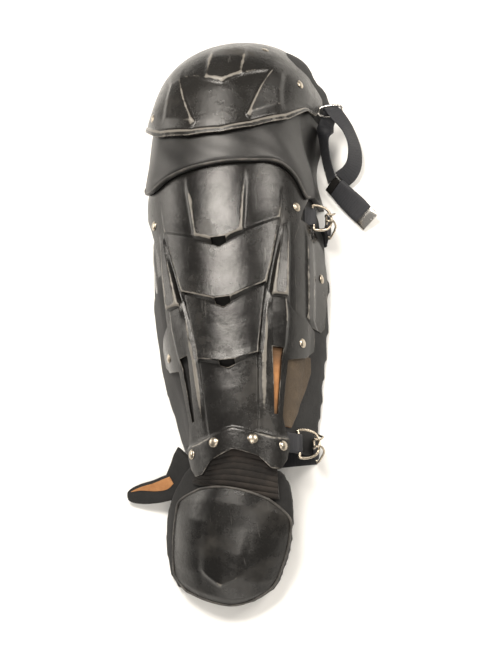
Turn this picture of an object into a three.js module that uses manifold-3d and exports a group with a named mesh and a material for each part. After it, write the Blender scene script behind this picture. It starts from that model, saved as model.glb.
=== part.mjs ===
// Catcher's leg guard, lying on its back: moulded shells over a padded wrap.
// Millimetres, +Z up, +Y from the ankle to the knee, +X to the wearer's strap side.
// The leg is one smooth surface. A place on it is named by three numbers: how far
// it is along the crest, how far round to the side (degrees), and how high over it.
import * as THREE from "three";
import { mergeVertices } from "three/addons/utils/BufferGeometryUtils.js";
import Module from "manifold-3d";

const wasm = await Module();
wasm.setup();

// The leg surface
const LEG_LENGTH = 400; // ankle hem to the middle of the knee, along the crest
const LEG_RADIUS = 100; // radius across the top of the shin
const CREST_HEIGHT = 139; // the crest over the floor at the knee
const KNEE_BEND_RADIUS = 105; // how sharply the crest turns down past the knee
const KNEE_FULLNESS = 0.6; // under 1 makes the sides of the knee dome fuller
const FLARE_ANGLE = 72; // past this side angle the wrap runs straight to the floor
const FLOOR_SIDE = 100; // the side value that means the floor

// Shells, padding and gaps
const SHELL_WALL = 3;
const RELIEF = 10; // height that the moulded ribs and scales are shares of
const RISER_WALL = 2; // wall along the leg where one scale steps down to the next
const VENT_HALF_WIDTH = 8;
const GAP = 0.4;
const WING_WALL = 2.5;
const WING_DROP = 1; // how far the side wings lie under the shell
const PAD_DROP = 1.6; // how far the shin pad lies under the side wings
const PAD_THICKNESS = 10;
const LINER_THICKNESS = 2;
const BAND_GAP = 1;
const BAND_THICKNESS = 7;
const BAND_SIDE_SHARE = 0.4; // the band thins to this share of its thickness at the sides
const KNEE_PAD_DROP = 2.4; // how far the knee pad lies under the cap's inner face
const KNEE_PAD_THICKNESS = 12;
const CAP_OVERLAP = 10; // how far the knee cap's rim laps over the band
const CAP_TURN = 6; // degrees that the knee cap sits round to the strap side

// Toe flap
const TOE_START = new THREE.Vector3(-5, -29, 72);
const TOE_PITCH = 24; // degrees down from level
const TOE_SKEW = 15; // degrees off the leg's line
const TOE_LENGTH = 124;
const TOE_HALF_WIDTH = 60;
const TOE_ARCH_RADIUS = 110; // curve of the flap across the foot
const TOE_DOME = 17; // how far the cap bulges over its rim
const TOE_BOSS = 2.5;
const FOOT_PAD_THICKNESS = 10;
const INSTEP_THICKNESS = 4;
const INSTEP_RIB = 1.2;

// Straps and metal
const STRAP_WIDTH = 25;
const STRAP_THICKNESS = 2;
const WIRE = 3;
const RIVET_HEAD_RADIUS = 5.5;
const RIVET_HEAD_HEIGHT = 2.4;
const RIVET_SHANK_RADIUS = 2.2;
const RING_LENGTH = 30; // along the strap's width
const RING_DEPTH = 22;

// Heights over the leg surface of each layer's outer face
const WING_FACE = -SHELL_WALL - WING_DROP;
const PAD_FACE = WING_FACE - WING_WALL - PAD_DROP;
const LINER_FACE = WING_FACE;
const BAND_FACE = BAND_GAP + BAND_THICKNESS;
const CAP_FACE = BAND_FACE + BAND_GAP + SHELL_WALL;
const STRAP_FACE = PAD_FACE + GAP + STRAP_THICKNESS;
const TAB_FACE = PAD_FACE + GAP + 1.2;

// along, crest and radius are shares of the leg's length, crest height and radius.
// drift, a share of the radius, is how far the knee leans to the strap side, and
// flare is how far the wrap runs out for each mm that it drops to the floor.
const LEG_SECTIONS = table(["along", "crest", "radius", "drift", "flare"], [
  [-0.06, 0.669, 0.58, 0, 0.3],
  [0, 0.683, 0.62, 0, 0.3],
  [0.225, 0.741, 0.78, 0, 0.5],
  [0.388, 0.813, 0.9, 0, 0.44],
  [0.555, 0.885, 0.98, 0, 0.36],
  [0.68, 0.935, 1.01, 0, 0.22],
  [0.79, 0.978, 1.02, 0, 0.04],
  [0.9, 0.996, 0.925, 0.01, 0.06],
  [1, 1, 0.89, 0.04, 0.2],
  [1.1, 1, 0.88, 0.1, 0.3],
  [1.35, 1, 0.84, 0.16, 0.3],
]);

// The shin shell, row by row from the ankle hem to the edge under the knee band.
// t columns are shares of the leg's length, s columns are side angles, and
// h columns are shares of the relief. back is 1 on rows that form a step.
const SHIN_ROWS = table(
  ["t_mid", "t_border", "t_fin", "t_edge", "s_ridge", "s_border", "s_crease", "s_in", "s_out", "s_edge",
    "h_mid", "h_spine", "h_foot", "h_crease", "h_in", "h_out", "h_edge", "back"],
  [
    [0.019, -0.003, -0.033, -0.006, 14, 23, 29, 36, 47, 54, 0.2, 0.2, 0.2, 0.2, 0.2, 0.2, 0.2, 0],
    [0.043, 0.023, 0.004, 0.02, 13, 23, 29, 36, 47, 55.5, 0.2, 0.2, 0.2, 0.2, 0.2, 0.2, 0.2, 0],
    [0.073, 0.056, 0.048, 0.048, 12, 22, 28, 36, 46, 55, 0.2, 0.2, 0.2, 0.2, 0.2, 0.2, 0.2, 1],
    [0.078, 0.061, 0.053, 0.053, 12, 22, 28, 36, 45, 53, 0.05, 0.05, 0, 0, 0, 0, 0, 1],
    [0.12, 0.11, 0.11, 0.105, 12, 22, 28, 38, 41.5, 46.5, 0.2, 0.2, 0, 0.1, 0, 0, 0, 0],
    [0.175, 0.18, 0.18, 0.175, 11.5, 22, 27, 36.5, 42, 47, 0.3, 0.3, 0, 0.35, 0, 0, 0, 0],
    [0.23, 0.262, 0.262, 0.25, 11, 21.8, 27, 34.5, 42.5, 48, 0.25, 0.25, 0, 0.4, 0, 0, 0, 1],
    [0.244, 0.266, 0.267, 0.258, 11, 21.9, 27, 34.2, 43, 48, 0.75, 0.75, 0, 0.4, 0, 0, 0, 1],
    [0.265, 0.287, 0.288, 0.279, 11, 22.2, 27.5, 33.6, 43.4, 69, 0.6, 0.6, 0, 0.4, 0.1, 0.1, 0, 0],
    [0.29, 0.31, 0.308, 0.305, 11, 23, 28, 33.5, 44, 76.5, 0.5, 0.5, 0, 0.4, 0.15, 0.15, 0, 0],
    [0.345, 0.375, 0.375, 0.36, 11, 25, 28.5, 33, 44, 75, 0.3, 0.3, 0, 0.3, 0.35, 0.35, 0, 0],
    [0.368, 0.413, 0.398, 0.377, 11, 26.3, 29.5, 32.5, 43, 66, 0.25, 0.25, 0, 0.25, 0.4, 0.4, 0, 0],
    [0.392, 0.452, 0.42, 0.39, 11, 27.6, 30.6, 32, 42, 53, 0.2, 0.2, 0, 0.2, 0.45, 0.45, 0, 1],
    [0.407, 0.456, 0.424, 0.394, 11, 27.8, 30.7, 32, 42, 52.8, 0.7, 0.7, 0, 0, 1, 0.9, 0, 1],
    [0.48, 0.52, 0.515, 0.5, 12, 32, 34.6, 36, 42.8, 51, 0.4, 0.4, 0, 0, 0.75, 0.7, 0, 0],
    [0.558, 0.64, 0.625, 0.59, 14, 38.5, 41, 42.5, 45, 50.5, 0.15, 0.15, 0, 0, 0.15, 0.15, 0, 1],
    [0.572, 0.644, 0.63, 0.595, 14, 38.7, 41.1, 42.6, 45.2, 51, 0.7, 0.35, 0, 0, 0.1, 0.1, 0, 1],
    [0.615, 0.67, 0.655, 0.64, 15, 40, 43, 44.5, 47, 55, 0.5, 0.2, 0, 0, 0, 0, 0, 0],
    [0.69, 0.7, 0.695, 0.69, 16.5, 41, 44, 46, 49, 60, 0.25, 0.08, 0, 0, 0, 0, 0, 0],
    [0.745, 0.742, 0.738, 0.73, 18, 41, 44, 47, 52, 66, 0, 0, 0, 0, 0, 0, 0, 0],
    [0.785, 0.785, 0.78, 0.77, 18, 41, 44, 47, 52, 64, 0, 0, 0, 0, 0, 0, 0, 0],
    [0.83, 0.828, 0.82, 0.8, 18, 41, 44, 47, 52, 60, 0, 0, 0, 0, 0, 0, 0, 0],
  ],
);
const SLOT_ROWS = [4, 8]; // the side slots run between these rows
const VENT_ROWS = [6, 12, 15]; // each vent opens in the step above one of these rows

// The knee cap, from its rim on the band up over the knee. Same kinds of column.
const CAP_ROWS = table(
  ["t_mid", "t_corner", "t_outer", "t_edge", "s_ridge", "s_corner", "s_outer", "s_edge",
    "h_mid", "h_panel", "h_flank", "h_cheek", "h_edge"],
  [
    [0.87, 0.882, 0.925, 1.018, 10, 20, 45, 74, 0.15, 0.15, 0.15, 0.15, 0.15],
    [0.884, 0.896, 0.939, 1.03, 10, 18, 43, 74.5, 0.1, 0.1, 0.1, 0.1, 0.1],
    [0.888, 0.9, 0.943, 1.034, 10, 17.5, 42.5, 75, -0.05, -0.05, -0.05, -0.05, 0],
    [0.918, 0.92, 0.965, 1.05, 10, 15.5, 38, 76, 0, 0, 0.3, 0.1, 0],
    [1.02, 1.066, 1.07, 1.1, 11, 28, 37, 75, 0.05, 0.05, 0.35, 0.1, 0],
    [1.026, 1.072, 1.076, 1.108, 11, 28.5, 38, 74, 0.4, 0.25, 0.3, 0.1, 0],
    [1.11, 1.13, 1.14, 1.15, 11.5, 30, 44, 69, 0.3, 0.12, 0.12, 0.05, 0],
    [1.2, 1.2, 1.2, 1.2, 10, 26, 40, 60, 0, 0, 0, 0, 0],
    [1.3, 1.285, 1.27, 1.25, 8, 20, 32, 46, 0, 0, 0, 0, 0],
  ],
);

// w runs down the toe flap and u across it, as shares of its length and half width.
// vee is how far a row turns up again beside the middle, where the boss ends in a V.
const TOE_CAP_ROWS = table(["w_mid", "w_left", "w_right", "u_left", "u_right", "dome", "boss", "vee"], [
  [-0.01, 0.12, 0.09, -0.84, 0.76, 0.1, 0, 0],
  [0.11, 0.22, 0.19, -1.06, 0.96, 0.5, 0, 0],
  [0.29, 0.35, 0.33, -1.12, 1, 0.88, 0.2, 0],
  [0.5, 0.54, 0.52, -1.12, 0.97, 1, 0.8, 0],
  [0.79, 0.72, 0.68, -1.08, 0.9, 0.85, 1, 0.09],
  [0.82, 0.75, 0.71, -1.07, 0.89, 0.8, 0, 0.08],
  [0.92, 0.87, 0.8, -1, 0.8, 0.42, 0, 0],
  [0.99, 0.94, 0.86, -0.88, 0.66, 0.06, 0, 0],
]);
const TOE_CAP_COLUMNS = [-1, -0.85, -0.68, -0.5, -0.47, -0.25, 0, 0.25, 0.47, 0.5, 0.68, 0.85, 1];
const TOE_BOSS_REACH = 0.48;

const FOOT_PAD_ROWS = table(["w_mid", "w_left", "w_right", "u_left", "u_right", "dome", "under"], [
  [-0.19, -0.12, -0.18, -0.9, 0.7, 0, 1],
  [-0.06, 0.0, -0.06, -1.1, 0.86, 0, 1],
  [0.06, 0.13, 0.06, -1.22, 0.94, 0.12, 1],
  [0.13, 0.24, 0.19, -1.3, 0.98, 0.5, 0.4],
  [0.29, 0.36, 0.33, -1.35, 1.02, 0.86, 0],
  [0.5, 0.55, 0.52, -1.34, 1, 0.97, 0],
  [0.78, 0.74, 0.7, -1.26, 0.93, 0.8, 0],
  [0.92, 0.9, 0.82, -1.12, 0.84, 0.4, 0],
  [1.02, 0.98, 0.89, -0.92, 0.68, 0, 0],
]);
const FOOT_PAD_COLUMNS = [-1, -0.85, -0.68, -0.48, -0.25, 0, 0.25, 0.48, 0.68, 0.85, 1];

function table(columns, rows) {
  return rows.map((row) => Object.fromEntries(columns.map((name, k) => [name, row[k]])));
}

const radians = THREE.MathUtils.degToRad;
const lerp = THREE.MathUtils.lerp;

// A smooth curve through one column of a table, by its along column
function smooth(rows, column, along) {
  const slopeAt = (k) => {
    const before = rows[Math.max(k - 1, 0)];
    const after = rows[Math.min(k + 1, rows.length - 1)];
    return (after[column] - before[column]) / (after.along - before.along);
  };
  const last = rows.length - 2;
  const found = rows.findIndex((row, k) => k <= last && along < rows[k + 1].along);
  const k = found < 0 ? last : found;
  const span = rows[k + 1].along - rows[k].along;
  const f = THREE.MathUtils.clamp((along - rows[k].along) / span, 0, 1);
  const from = rows[k][column];
  const to = rows[k + 1][column];
  const rise = (2 * f ** 3 - 3 * f ** 2 + 1) * from + (3 * f ** 2 - 2 * f ** 3) * to;
  return rise + span * ((f ** 3 - 2 * f ** 2 + f) * slopeAt(k) + (f ** 3 - f ** 2) * slopeAt(k + 1));
}

// A point of the leg: t mm along the crest, side degrees round, height mm over it
function legPoint(t, side, height) {
  const along = t / LEG_LENGTH;
  const radius = LEG_RADIUS * smooth(LEG_SECTIONS, "radius", along);
  const bend = Math.max(t - LEG_LENGTH, 0) / KNEE_BEND_RADIUS;
  const crest = CREST_HEIGHT * smooth(LEG_SECTIONS, "crest", along);
  const turn = radians(Math.sign(side) * Math.min(Math.abs(side), FLARE_ANGLE));
  const reach = radius + height;
  const point = new THREE.Vector3(reach * Math.sin(turn), t, crest - radius + reach * Math.cos(turn));
  if (bend > 0) {
    const lean = KNEE_BEND_RADIUS - radius;
    point.y = LEG_LENGTH + (lean + reach * Math.cos(turn) ** KNEE_FULLNESS) * Math.sin(bend);
    point.z = CREST_HEIGHT - KNEE_BEND_RADIUS + (lean + reach * Math.cos(turn)) * Math.cos(bend);
  }
  point.x += LEG_RADIUS * smooth(LEG_SECTIONS, "drift", along);
  const down = (Math.abs(side) - FLARE_ANGLE) / (FLOOR_SIDE - FLARE_ANGLE);
  if (down > 0) {
    const drop = point.z * down;
    point.z -= drop;
    point.x += Math.sign(side) * drop * smooth(LEG_SECTIONS, "flare", along);
  }
  return point;
}

const TOE_DOWN = new THREE.Vector3(
  -Math.sin(radians(TOE_SKEW)) * Math.cos(radians(TOE_PITCH)),
  -Math.cos(radians(TOE_SKEW)) * Math.cos(radians(TOE_PITCH)),
  -Math.sin(radians(TOE_PITCH)),
);
const TOE_ACROSS = new THREE.Vector3(Math.cos(radians(TOE_SKEW)), -Math.sin(radians(TOE_SKEW)), 0);
const TOE_UP = new THREE.Vector3().crossVectors(TOE_DOWN, TOE_ACROSS);

// A point of the toe flap: u mm across, w mm down it, lift mm over its arched sheet.
// Nothing goes through the floor: least is how high it stays where the floor flattens it.
function toePoint(u, w, lift, least = 0) {
  const arch = (u * u) / (2 * TOE_ARCH_RADIUS);
  const point = TOE_START.clone().addScaledVector(TOE_ACROSS, u).addScaledVector(TOE_DOWN, w);
  point.addScaledVector(TOE_UP, lift - arch);
  point.z = Math.max(point.z, least);
  return point;
}

// Solids

function closedMesh(triangles) {
  const geometry = new THREE.BufferGeometry();
  const numbers = triangles.flatMap((corner) => [corner.x, corner.y, corner.z]);
  geometry.setAttribute("position", new THREE.Float32BufferAttribute(numbers, 3));
  return outward(mergeVertices(geometry, 1e-4));
}

// Turns a closed mesh inside out where its enclosed volume comes out negative
function outward(geometry) {
  const position = geometry.attributes.position;
  const index = geometry.index.array;
  const corners = [new THREE.Vector3(), new THREE.Vector3(), new THREE.Vector3()];
  let volume = 0;
  for (let k = 0; k < index.length; k += 3) {
    corners.forEach((corner, n) => corner.fromBufferAttribute(position, index[k + n]));
    volume += corners[0].dot(corners[1].cross(corners[2]));
  }
  if (volume < 0) index.reverse();
  return geometry;
}

// A wall between an outer and an inner grid of points, with walls round open cells
function wallBetween(outer, inner, isOpen = () => false) {
  const rows = outer.length - 1;
  const columns = outer[0].length - 1;
  const solid = (i, j) => i >= 0 && j >= 0 && i < rows && j < columns && !isOpen(i, j);
  const triangles = [];
  const quad = (a, b, c, d) => triangles.push(a, b, c, a, c, d);
  for (let i = 0; i < rows; i += 1) {
    for (let j = 0; j < columns; j += 1) {
      if (!solid(i, j)) continue;
      const ring = [[i, j], [i, j + 1], [i + 1, j + 1], [i + 1, j]];
      const beyond = [solid(i - 1, j), solid(i, j + 1), solid(i + 1, j), solid(i, j - 1)];
      const face = ring.map(([r, c]) => outer[r][c]);
      const back = ring.map(([r, c]) => inner[r][c]);
      quad(...face);
      quad(back[0], back[3], back[2], back[1]);
      for (let side = 0; side < 4; side += 1) {
        const next = (side + 1) % 4;
        if (!beyond[side]) quad(face[next], face[side], back[side], back[next]);
      }
    }
  }
  return closedMesh(triangles);
}

// A solid through a run of equal rings of points, closed on itself or capped
function throughRings(rings, loop = false) {
  const triangles = [];
  const count = rings[0].length;
  const spans = loop ? rings.length : rings.length - 1;
  for (let k = 0; k < spans; k += 1) {
    const here = rings[k];
    const there = rings[(k + 1) % rings.length];
    for (let n = 0; n < count; n += 1) {
      const m = (n + 1) % count;
      triangles.push(here[n], here[m], there[m], here[n], there[m], there[n]);
    }
  }
  if (!loop) {
    for (let n = 1; n < count - 1; n += 1) {
      const end = rings[rings.length - 1];
      triangles.push(rings[0][0], rings[0][n + 1], rings[0][n], end[0], end[n], end[n + 1]);
    }
  }
  return closedMesh(triangles);
}

// A round wire along a closed run of points
function wireLoop(points, thickness, sides = 6) {
  const curve = new THREE.CatmullRomCurve3(points, true, "catmullrom", 0.3);
  const count = Math.round(points.length * 1.4);
  const frames = curve.computeFrenetFrames(count, true);
  const rings = [];
  for (let k = 0; k < count; k += 1) {
    const centre = curve.getPointAt(k / count);
    rings.push(Array.from({ length: sides }, (_, n) => {
      const angle = (2 * Math.PI * n) / sides;
      return centre.clone()
        .addScaledVector(frames.normals[k], Math.cos(angle) * thickness / 2)
        .addScaledVector(frames.binormals[k], Math.sin(angle) * thickness / 2);
    }));
  }
  return throughRings(rings, true);
}

// A flat strap along points; each stop gives its middle, its width direction and width
function strapAlong(stops, thickness = STRAP_THICKNESS) {
  return throughRings(stops.map((stop, k) => {
    const before = stops[Math.max(k - 1, 0)].at;
    const after = stops[Math.min(k + 1, stops.length - 1)].at;
    const along = after.clone().sub(before).normalize();
    const wide = stop.wide.clone().addScaledVector(along, -stop.wide.dot(along)).normalize();
    const thick = new THREE.Vector3().crossVectors(along, wide);
    const half = (stop.width ?? STRAP_WIDTH) / 2;
    const deep = (stop.thickness ?? thickness) / 2;
    return [[-1, -1], [1, -1], [1, 1], [-1, 1]].map(([a, b]) => (
      stop.at.clone().addScaledVector(wide, a * half).addScaledVector(thick, b * deep)));
  }));
}

// The same mesh with its points alone, so that points in one place become one
function bare(geometry) {
  const points = new THREE.BufferGeometry();
  points.setAttribute("position", geometry.attributes.position.clone());
  if (geometry.index) points.setIndex(geometry.index.clone());
  return mergeVertices(points, 1e-4);
}

function toSolid(geometry) {
  const merged = bare(geometry);
  const vertProperties = Float32Array.from(merged.attributes.position.array);
  const triVerts = Uint32Array.from(merged.index.array);
  return new wasm.Manifold(new wasm.Mesh({ numProp: 3, vertProperties, triVerts }));
}

function fromSolid(solid) {
  const mesh = solid.getMesh();
  const geometry = new THREE.BufferGeometry();
  geometry.setAttribute("position", new THREE.Float32BufferAttribute(mesh.vertProperties, 3));
  geometry.setIndex(Array.from(mesh.triVerts));
  return geometry;
}

function cut(geometry, cutters) {
  return fromSolid(cutters.reduce((left, cutter) => left.subtract(toSolid(cutter)), toSolid(geometry)));
}

const SHIFTS = [-1, 1].flatMap((x) => [-1, 1].flatMap((y) => [-1, 1].map((z) => [x, y, z])));

// Cuts a piece back where its neighbours lie, with a gap all round them
function clearOf(geometry, neighbours) {
  let left = toSolid(geometry);
  for (const neighbour of neighbours) {
    const solid = toSolid(neighbour);
    for (const shift of SHIFTS) left = left.subtract(solid.translate(shift.map((k) => k * GAP)));
  }
  const pieces = left.decompose().sort((a, b) => b.volume() - a.volume());
  return fromSolid(pieces[0]);
}

// Turns a lathed form that stands along +Y to stand along a direction at a place
function standOn(geometry, place, direction) {
  const turn = new THREE.Quaternion().setFromUnitVectors(new THREE.Vector3(0, 1, 0), direction);
  return geometry.applyQuaternion(turn).translate(place.x, place.y, place.z);
}

function lathe(profile, segments = 8) {
  return new THREE.LatheGeometry(profile.map(([r, y]) => new THREE.Vector2(r, y)), segments);
}

function mirroredColumns(half) {
  const left = half.slice(1).reverse().map(([side, height, along]) => [-side, height, along]);
  return left.concat(half);
}

// Finishes

function finish(color, roughness, metalness = 0) {
  return new THREE.MeshStandardMaterial({ color, roughness, metalness });
}
const FINISH = {
  shell: finish(0x1b1a19, 0.42),
  pad: finish(0x161617, 0.9),
  binding: finish(0x232222, 0.8),
  lining: finish(0xb98a5c, 0.95),
  instep: finish(0x2a221e, 0.85),
  strap: finish(0x17181c, 0.85),
  metal: finish(0xb9b4a8, 0.3, 1),
};

const part = new THREE.Group();

function add(name, geometry, material) {
  const mesh = new THREE.Mesh(geometry, material.clone());
  mesh.name = name;
  part.add(mesh);
  return mesh;
}

// Shin shell

function shinColumns(row) {
  const radius = LEG_RADIUS * smooth(LEG_SECTIONS, "radius", row.t_mid);
  const vent = THREE.MathUtils.radToDeg(Math.asin(VENT_HALF_WIDTH / radius));
  const ridgeFoot = row.s_ridge + 2;
  const spineMiddle = (ridgeFoot + row.s_border) / 2;
  const t = (side) => {
    if (side <= row.s_border) return lerp(row.t_mid, row.t_border, side / row.s_border);
    if (side <= row.s_in) {
      return lerp(row.t_border, row.t_fin, (side - row.s_border) / (row.s_in - row.s_border));
    }
    if (side <= row.s_out) return row.t_fin;
    return lerp(row.t_fin, row.t_edge, (side - row.s_out) / (row.s_edge - row.s_out));
  };
  const finFoot = row.s_out + 2;
  const lower = lerp(row.h_out, row.h_edge, 0.9);
  const half = [
    [0, row.h_mid], [vent, row.h_mid], [row.s_ridge, row.h_mid], [ridgeFoot, row.h_spine],
    [spineMiddle, row.h_spine], [row.s_border, row.h_spine], [row.s_border + 1.6, row.h_foot],
    [row.s_crease, row.h_crease], [row.s_in, row.h_in], [row.s_out, row.h_out],
    [finFoot, lower], [lerp(finFoot, row.s_edge, 0.33), row.h_edge],
    [lerp(finFoot, row.s_edge, 0.67), row.h_edge], [row.s_edge, row.h_edge],
  ].map(([side, height]) => [side, height, t(side)]);
  if (row.lip) half[0][2] = half[1][2];
  return half;
}
const SLOT_COLUMN = 8; // counted from the middle, the cell between the slot's two sides

function shinShell() {
  const rows = SHIN_ROWS.map((row, k) => ({ ...row, lip: VENT_ROWS.includes(k - 1) }));
  const grid = (drop) => rows.map((row) => mirroredColumns(shinColumns(row)).map(([side, h, t]) => (
    legPoint(t * LEG_LENGTH + (drop ? row.back * RISER_WALL : 0), side, h * RELIEF - drop))));
  const middle = shinColumns(rows[0]).length - 1;
  const isOpen = (i, j) => {
    const column = j >= middle ? j - middle : middle - 1 - j;
    const slot = column === SLOT_COLUMN && i >= SLOT_ROWS[0] && i < SLOT_ROWS[1];
    const vent = column === 0 && VENT_ROWS.includes(i);
    return slot || vent;
  };
  return wallBetween(grid(0), grid(SHELL_WALL), isOpen);
}

// Knee cap, band and knee pad

// The line that the cap's rim follows over the band, as mm along the leg
function rimLine(side) {
  const low = CAP_ROWS[0].t_mid;
  const rise = CAP_ROWS[0].t_edge - low;
  return LEG_LENGTH * (low + rise * Math.min(Math.abs(side - CAP_TURN) / CAP_ROWS[0].s_edge, 1) ** 1.9);
}

function capColumns(row) {
  const t = (side) => {
    if (side <= row.s_corner) return lerp(row.t_mid, row.t_corner, side / row.s_corner);
    if (side <= row.s_outer) {
      return lerp(row.t_corner, row.t_outer, (side - row.s_corner) / (row.s_outer - row.s_corner));
    }
    return lerp(row.t_outer, row.t_edge, (side - row.s_outer) / (row.s_edge - row.s_outer));
  };
  const cheek = row.s_outer + 4;
  return [
    [0, row.h_mid], [row.s_ridge, row.h_mid], [row.s_ridge + 1.5, row.h_panel],
    [row.s_corner, row.h_panel], [row.s_corner + 2, row.h_flank], [row.s_outer, row.h_flank],
    [cheek, row.h_cheek], [(cheek + row.s_edge) / 2, row.h_cheek], [row.s_edge, row.h_edge],
  ].map(([side, height]) => [side, height, t(side)]);
}

function kneeCapShell() {
  const grid = (drop) => CAP_ROWS.map((row) => mirroredColumns(capColumns(row)).map(([side, h, t]) => (
    legPoint(t * LEG_LENGTH, side + CAP_TURN, CAP_FACE + h * RELIEF - drop))));
  return wallBetween(grid(0), grid(SHELL_WALL + 0.05 * RELIEF));
}

const WRAP_COLUMNS = [-100, -90, -81, -72, -65, -55, -44, -33, -22, -11, 0,
  11, 22, 33, 44, 55, 65, 72, 81, 90, 100];

// The band's lower line dips a little at the shell's corners and rises again to the floor
const BAND_HEM = table(["along", "hem"], [
  [0, 0.792], [30, 0.792], [48, 0.785], [58, 0.775], [66, 0.788], [74, 0.812], [84, 0.824], [100, 0.83],
]);
function sideShare(side) {
  return lerp(1, BAND_SIDE_SHARE, THREE.MathUtils.smoothstep(Math.abs(side), 40, 66));
}
const BAND_CROWN = [[0, 0.62], [0.12, 0.9], [0.5, 1], [0.88, 0.95], [1, 0.8]]; // share up, share out

function kneeBand() {
  const place = (side, share, height) => {
    const low = LEG_LENGTH * smooth(BAND_HEM, "hem", Math.abs(side));
    return legPoint(lerp(low, rimLine(side) + CAP_OVERLAP, share), side, height);
  };
  const outer = BAND_CROWN.map(([share, out]) => WRAP_COLUMNS.map((side) => (
    place(side, share, BAND_GAP + BAND_THICKNESS * out * sideShare(side)))));
  const inner = BAND_CROWN.map(([share]) => WRAP_COLUMNS.map((side) => (
    place(side, share, Math.abs(side) > 70 ? WING_FACE : BAND_GAP))));
  return wallBetween(outer, inner);
}

const KNEE_PAD_TOP = 1.335;
const KNEE_PAD_ROWS = [0, 0.15, 0.35, 0.55, 0.75, 0.9, 1];
function kneePad() {
  const grid = (height) => KNEE_PAD_ROWS.map((share) => WRAP_COLUMNS.map((side) => {
    const low = rimLine(side) + CAP_OVERLAP + GAP * 2;
    const edge = share === 0 || share === 1 ? 0.8 : 1;
    return legPoint(lerp(low, KNEE_PAD_TOP * LEG_LENGTH, share), side, height(edge));
  }));
  const face = CAP_FACE - SHELL_WALL - KNEE_PAD_DROP;
  return wallBetween(grid((edge) => face - (1 - edge) * KNEE_PAD_THICKNESS), grid(() => face - KNEE_PAD_THICKNESS));
}

// Shin pad, side wings and the tan foam panel

const PAD_ROWS = [0, 0.16, 0.34, 0.52, 0.68, 0.84];
function padEnd(side) {
  return lerp(0.055, 0.035, Math.min(Math.abs(side) / 50, 1));
}

function shinPad() {
  const grid = (height) => PAD_ROWS.map((share, k) => WRAP_COLUMNS.map((side) => {
    const t = k === 0 ? padEnd(side) : share;
    return legPoint(t * LEG_LENGTH, side, height);
  }));
  return wallBetween(grid(PAD_FACE), grid(PAD_FACE - PAD_THICKNESS));
}

// Side plates that show beside the shell: t is a share of the leg, s side angles
const WING_ROWS = table(["t_in", "t_out", "s_in", "s_line", "s_band", "s_out", "rise", "sink"], [
  [0.378, 0.374, 47, 76, 81, 86, 0.05, 0.1],
  [0.4, 0.39, 46, 69, 76, 89, 0.2, 0.04],
  [0.52, 0.52, 44, 66, 74, 91, 0.2, 0],
  [0.62, 0.62, 44, 66, 73, 88, 0.15, 0],
  [0.67, 0.66, 50, 64, 69, 78, 0, 0],
]);
function sideWing(hand) {
  const grid = (drop) => WING_ROWS.map((row) => {
    const columns = [[row.s_in, 0], [lerp(row.s_in, row.s_line, 0.33), 0],
      [lerp(row.s_in, row.s_line, 0.66), 0], [row.s_line - 2, 0], [row.s_line, row.rise], [row.s_band, row.rise],
      [row.s_band + 2, 0], [row.s_out, 0]];
    return columns.map(([side, rise]) => {
      const share = (side - row.s_in) / (row.s_out - row.s_in);
      const height = WING_FACE + (rise - row.sink) * RELIEF - drop;
      return legPoint(lerp(row.t_in, row.t_out, share) * LEG_LENGTH, hand * side, height);
    });
  });
  return wallBetween(grid(0), grid(WING_WALL));
}

// Tan foam that shows in the strap side's slot and beside the shell's narrow end
const FOAM_ROWS = table(["along", "s_in", "s_out"], [
  [0.085, 29, 62], [0.13, 26, 70], [0.2, 26, 76], [0.25, 27, 79], [0.29, 29, 77],
]);
function foamPanel() {
  const grid = (height) => FOAM_ROWS.map((row) => [0, 0.2, 0.4, 0.6, 0.8, 1].map((share) => (
    legPoint(row.along * LEG_LENGTH, lerp(row.s_in, row.s_out, share), height))));
  return wallBetween(grid(LINER_FACE), grid(LINER_FACE - LINER_THICKNESS));
}

// Toe flap

// A grid over the toe flap. spare is how far its edges are grown past the table's.
function toeGrid(rows, columns, lift, { least = 0, spare = 0 } = {}) {
  const grown = (k) => (k === rows.length - 1 ? spare : 0) - (k === 0 ? spare : 0);
  return rows.map((row, k) => columns.map((across) => {
    const edge = Math.abs(across);
    const vee = (row.vee ?? 0) * Math.min(edge / TOE_BOSS_REACH, (1 - edge) / (1 - TOE_BOSS_REACH));
    const w = lerp(row.w_mid, across < 0 ? row.w_left : row.w_right, edge ** 2.2) - vee;
    const u = (across < 0 ? -row.u_left : row.u_right) * TOE_HALF_WIDTH + spare;
    return toePoint(u * across, w * TOE_LENGTH + grown(k), lift(row, edge), least);
  }));
}

// The cap, or with its rim and faces grown, the space that the foot pad leaves for it
function toeCap({ rim = 0, face = 0 } = {}) {
  const grid = (drop) => toeGrid(TOE_CAP_ROWS, TOE_CAP_COLUMNS, (row, edge) => {
    const boss = edge < TOE_BOSS_REACH ? row.boss * TOE_BOSS : 0;
    return row.dome * TOE_DOME * (1 - edge ** 3) + boss - drop;
  }, { spare: rim });
  return wallBetween(grid(-face), grid(SHELL_WALL + face));
}

const FOOT_PAD_DROP = 2; // the foot pad lies this far under the cap's inner face
const FOOT_PAD_CLEARANCE = 1.2; // where the pad comes up past the rim, it clears the cap by this
const FOOT_FACE = -SHELL_WALL - FOOT_PAD_DROP;
function footPad() {
  const grid = (drop, least) => toeGrid(FOOT_PAD_ROWS, FOOT_PAD_COLUMNS, (row, edge) => {
    const under = row.under * (INSTEP_THICKNESS + FOOT_PAD_DROP);
    return row.dome * TOE_DOME * 0.82 * (1 - edge ** 3) + FOOT_FACE - under - drop;
  }, { least });
  return wallBetween(grid(0, FOOT_PAD_THICKNESS * 0.7), grid(FOOT_PAD_THICKNESS, 0));
}

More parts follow.
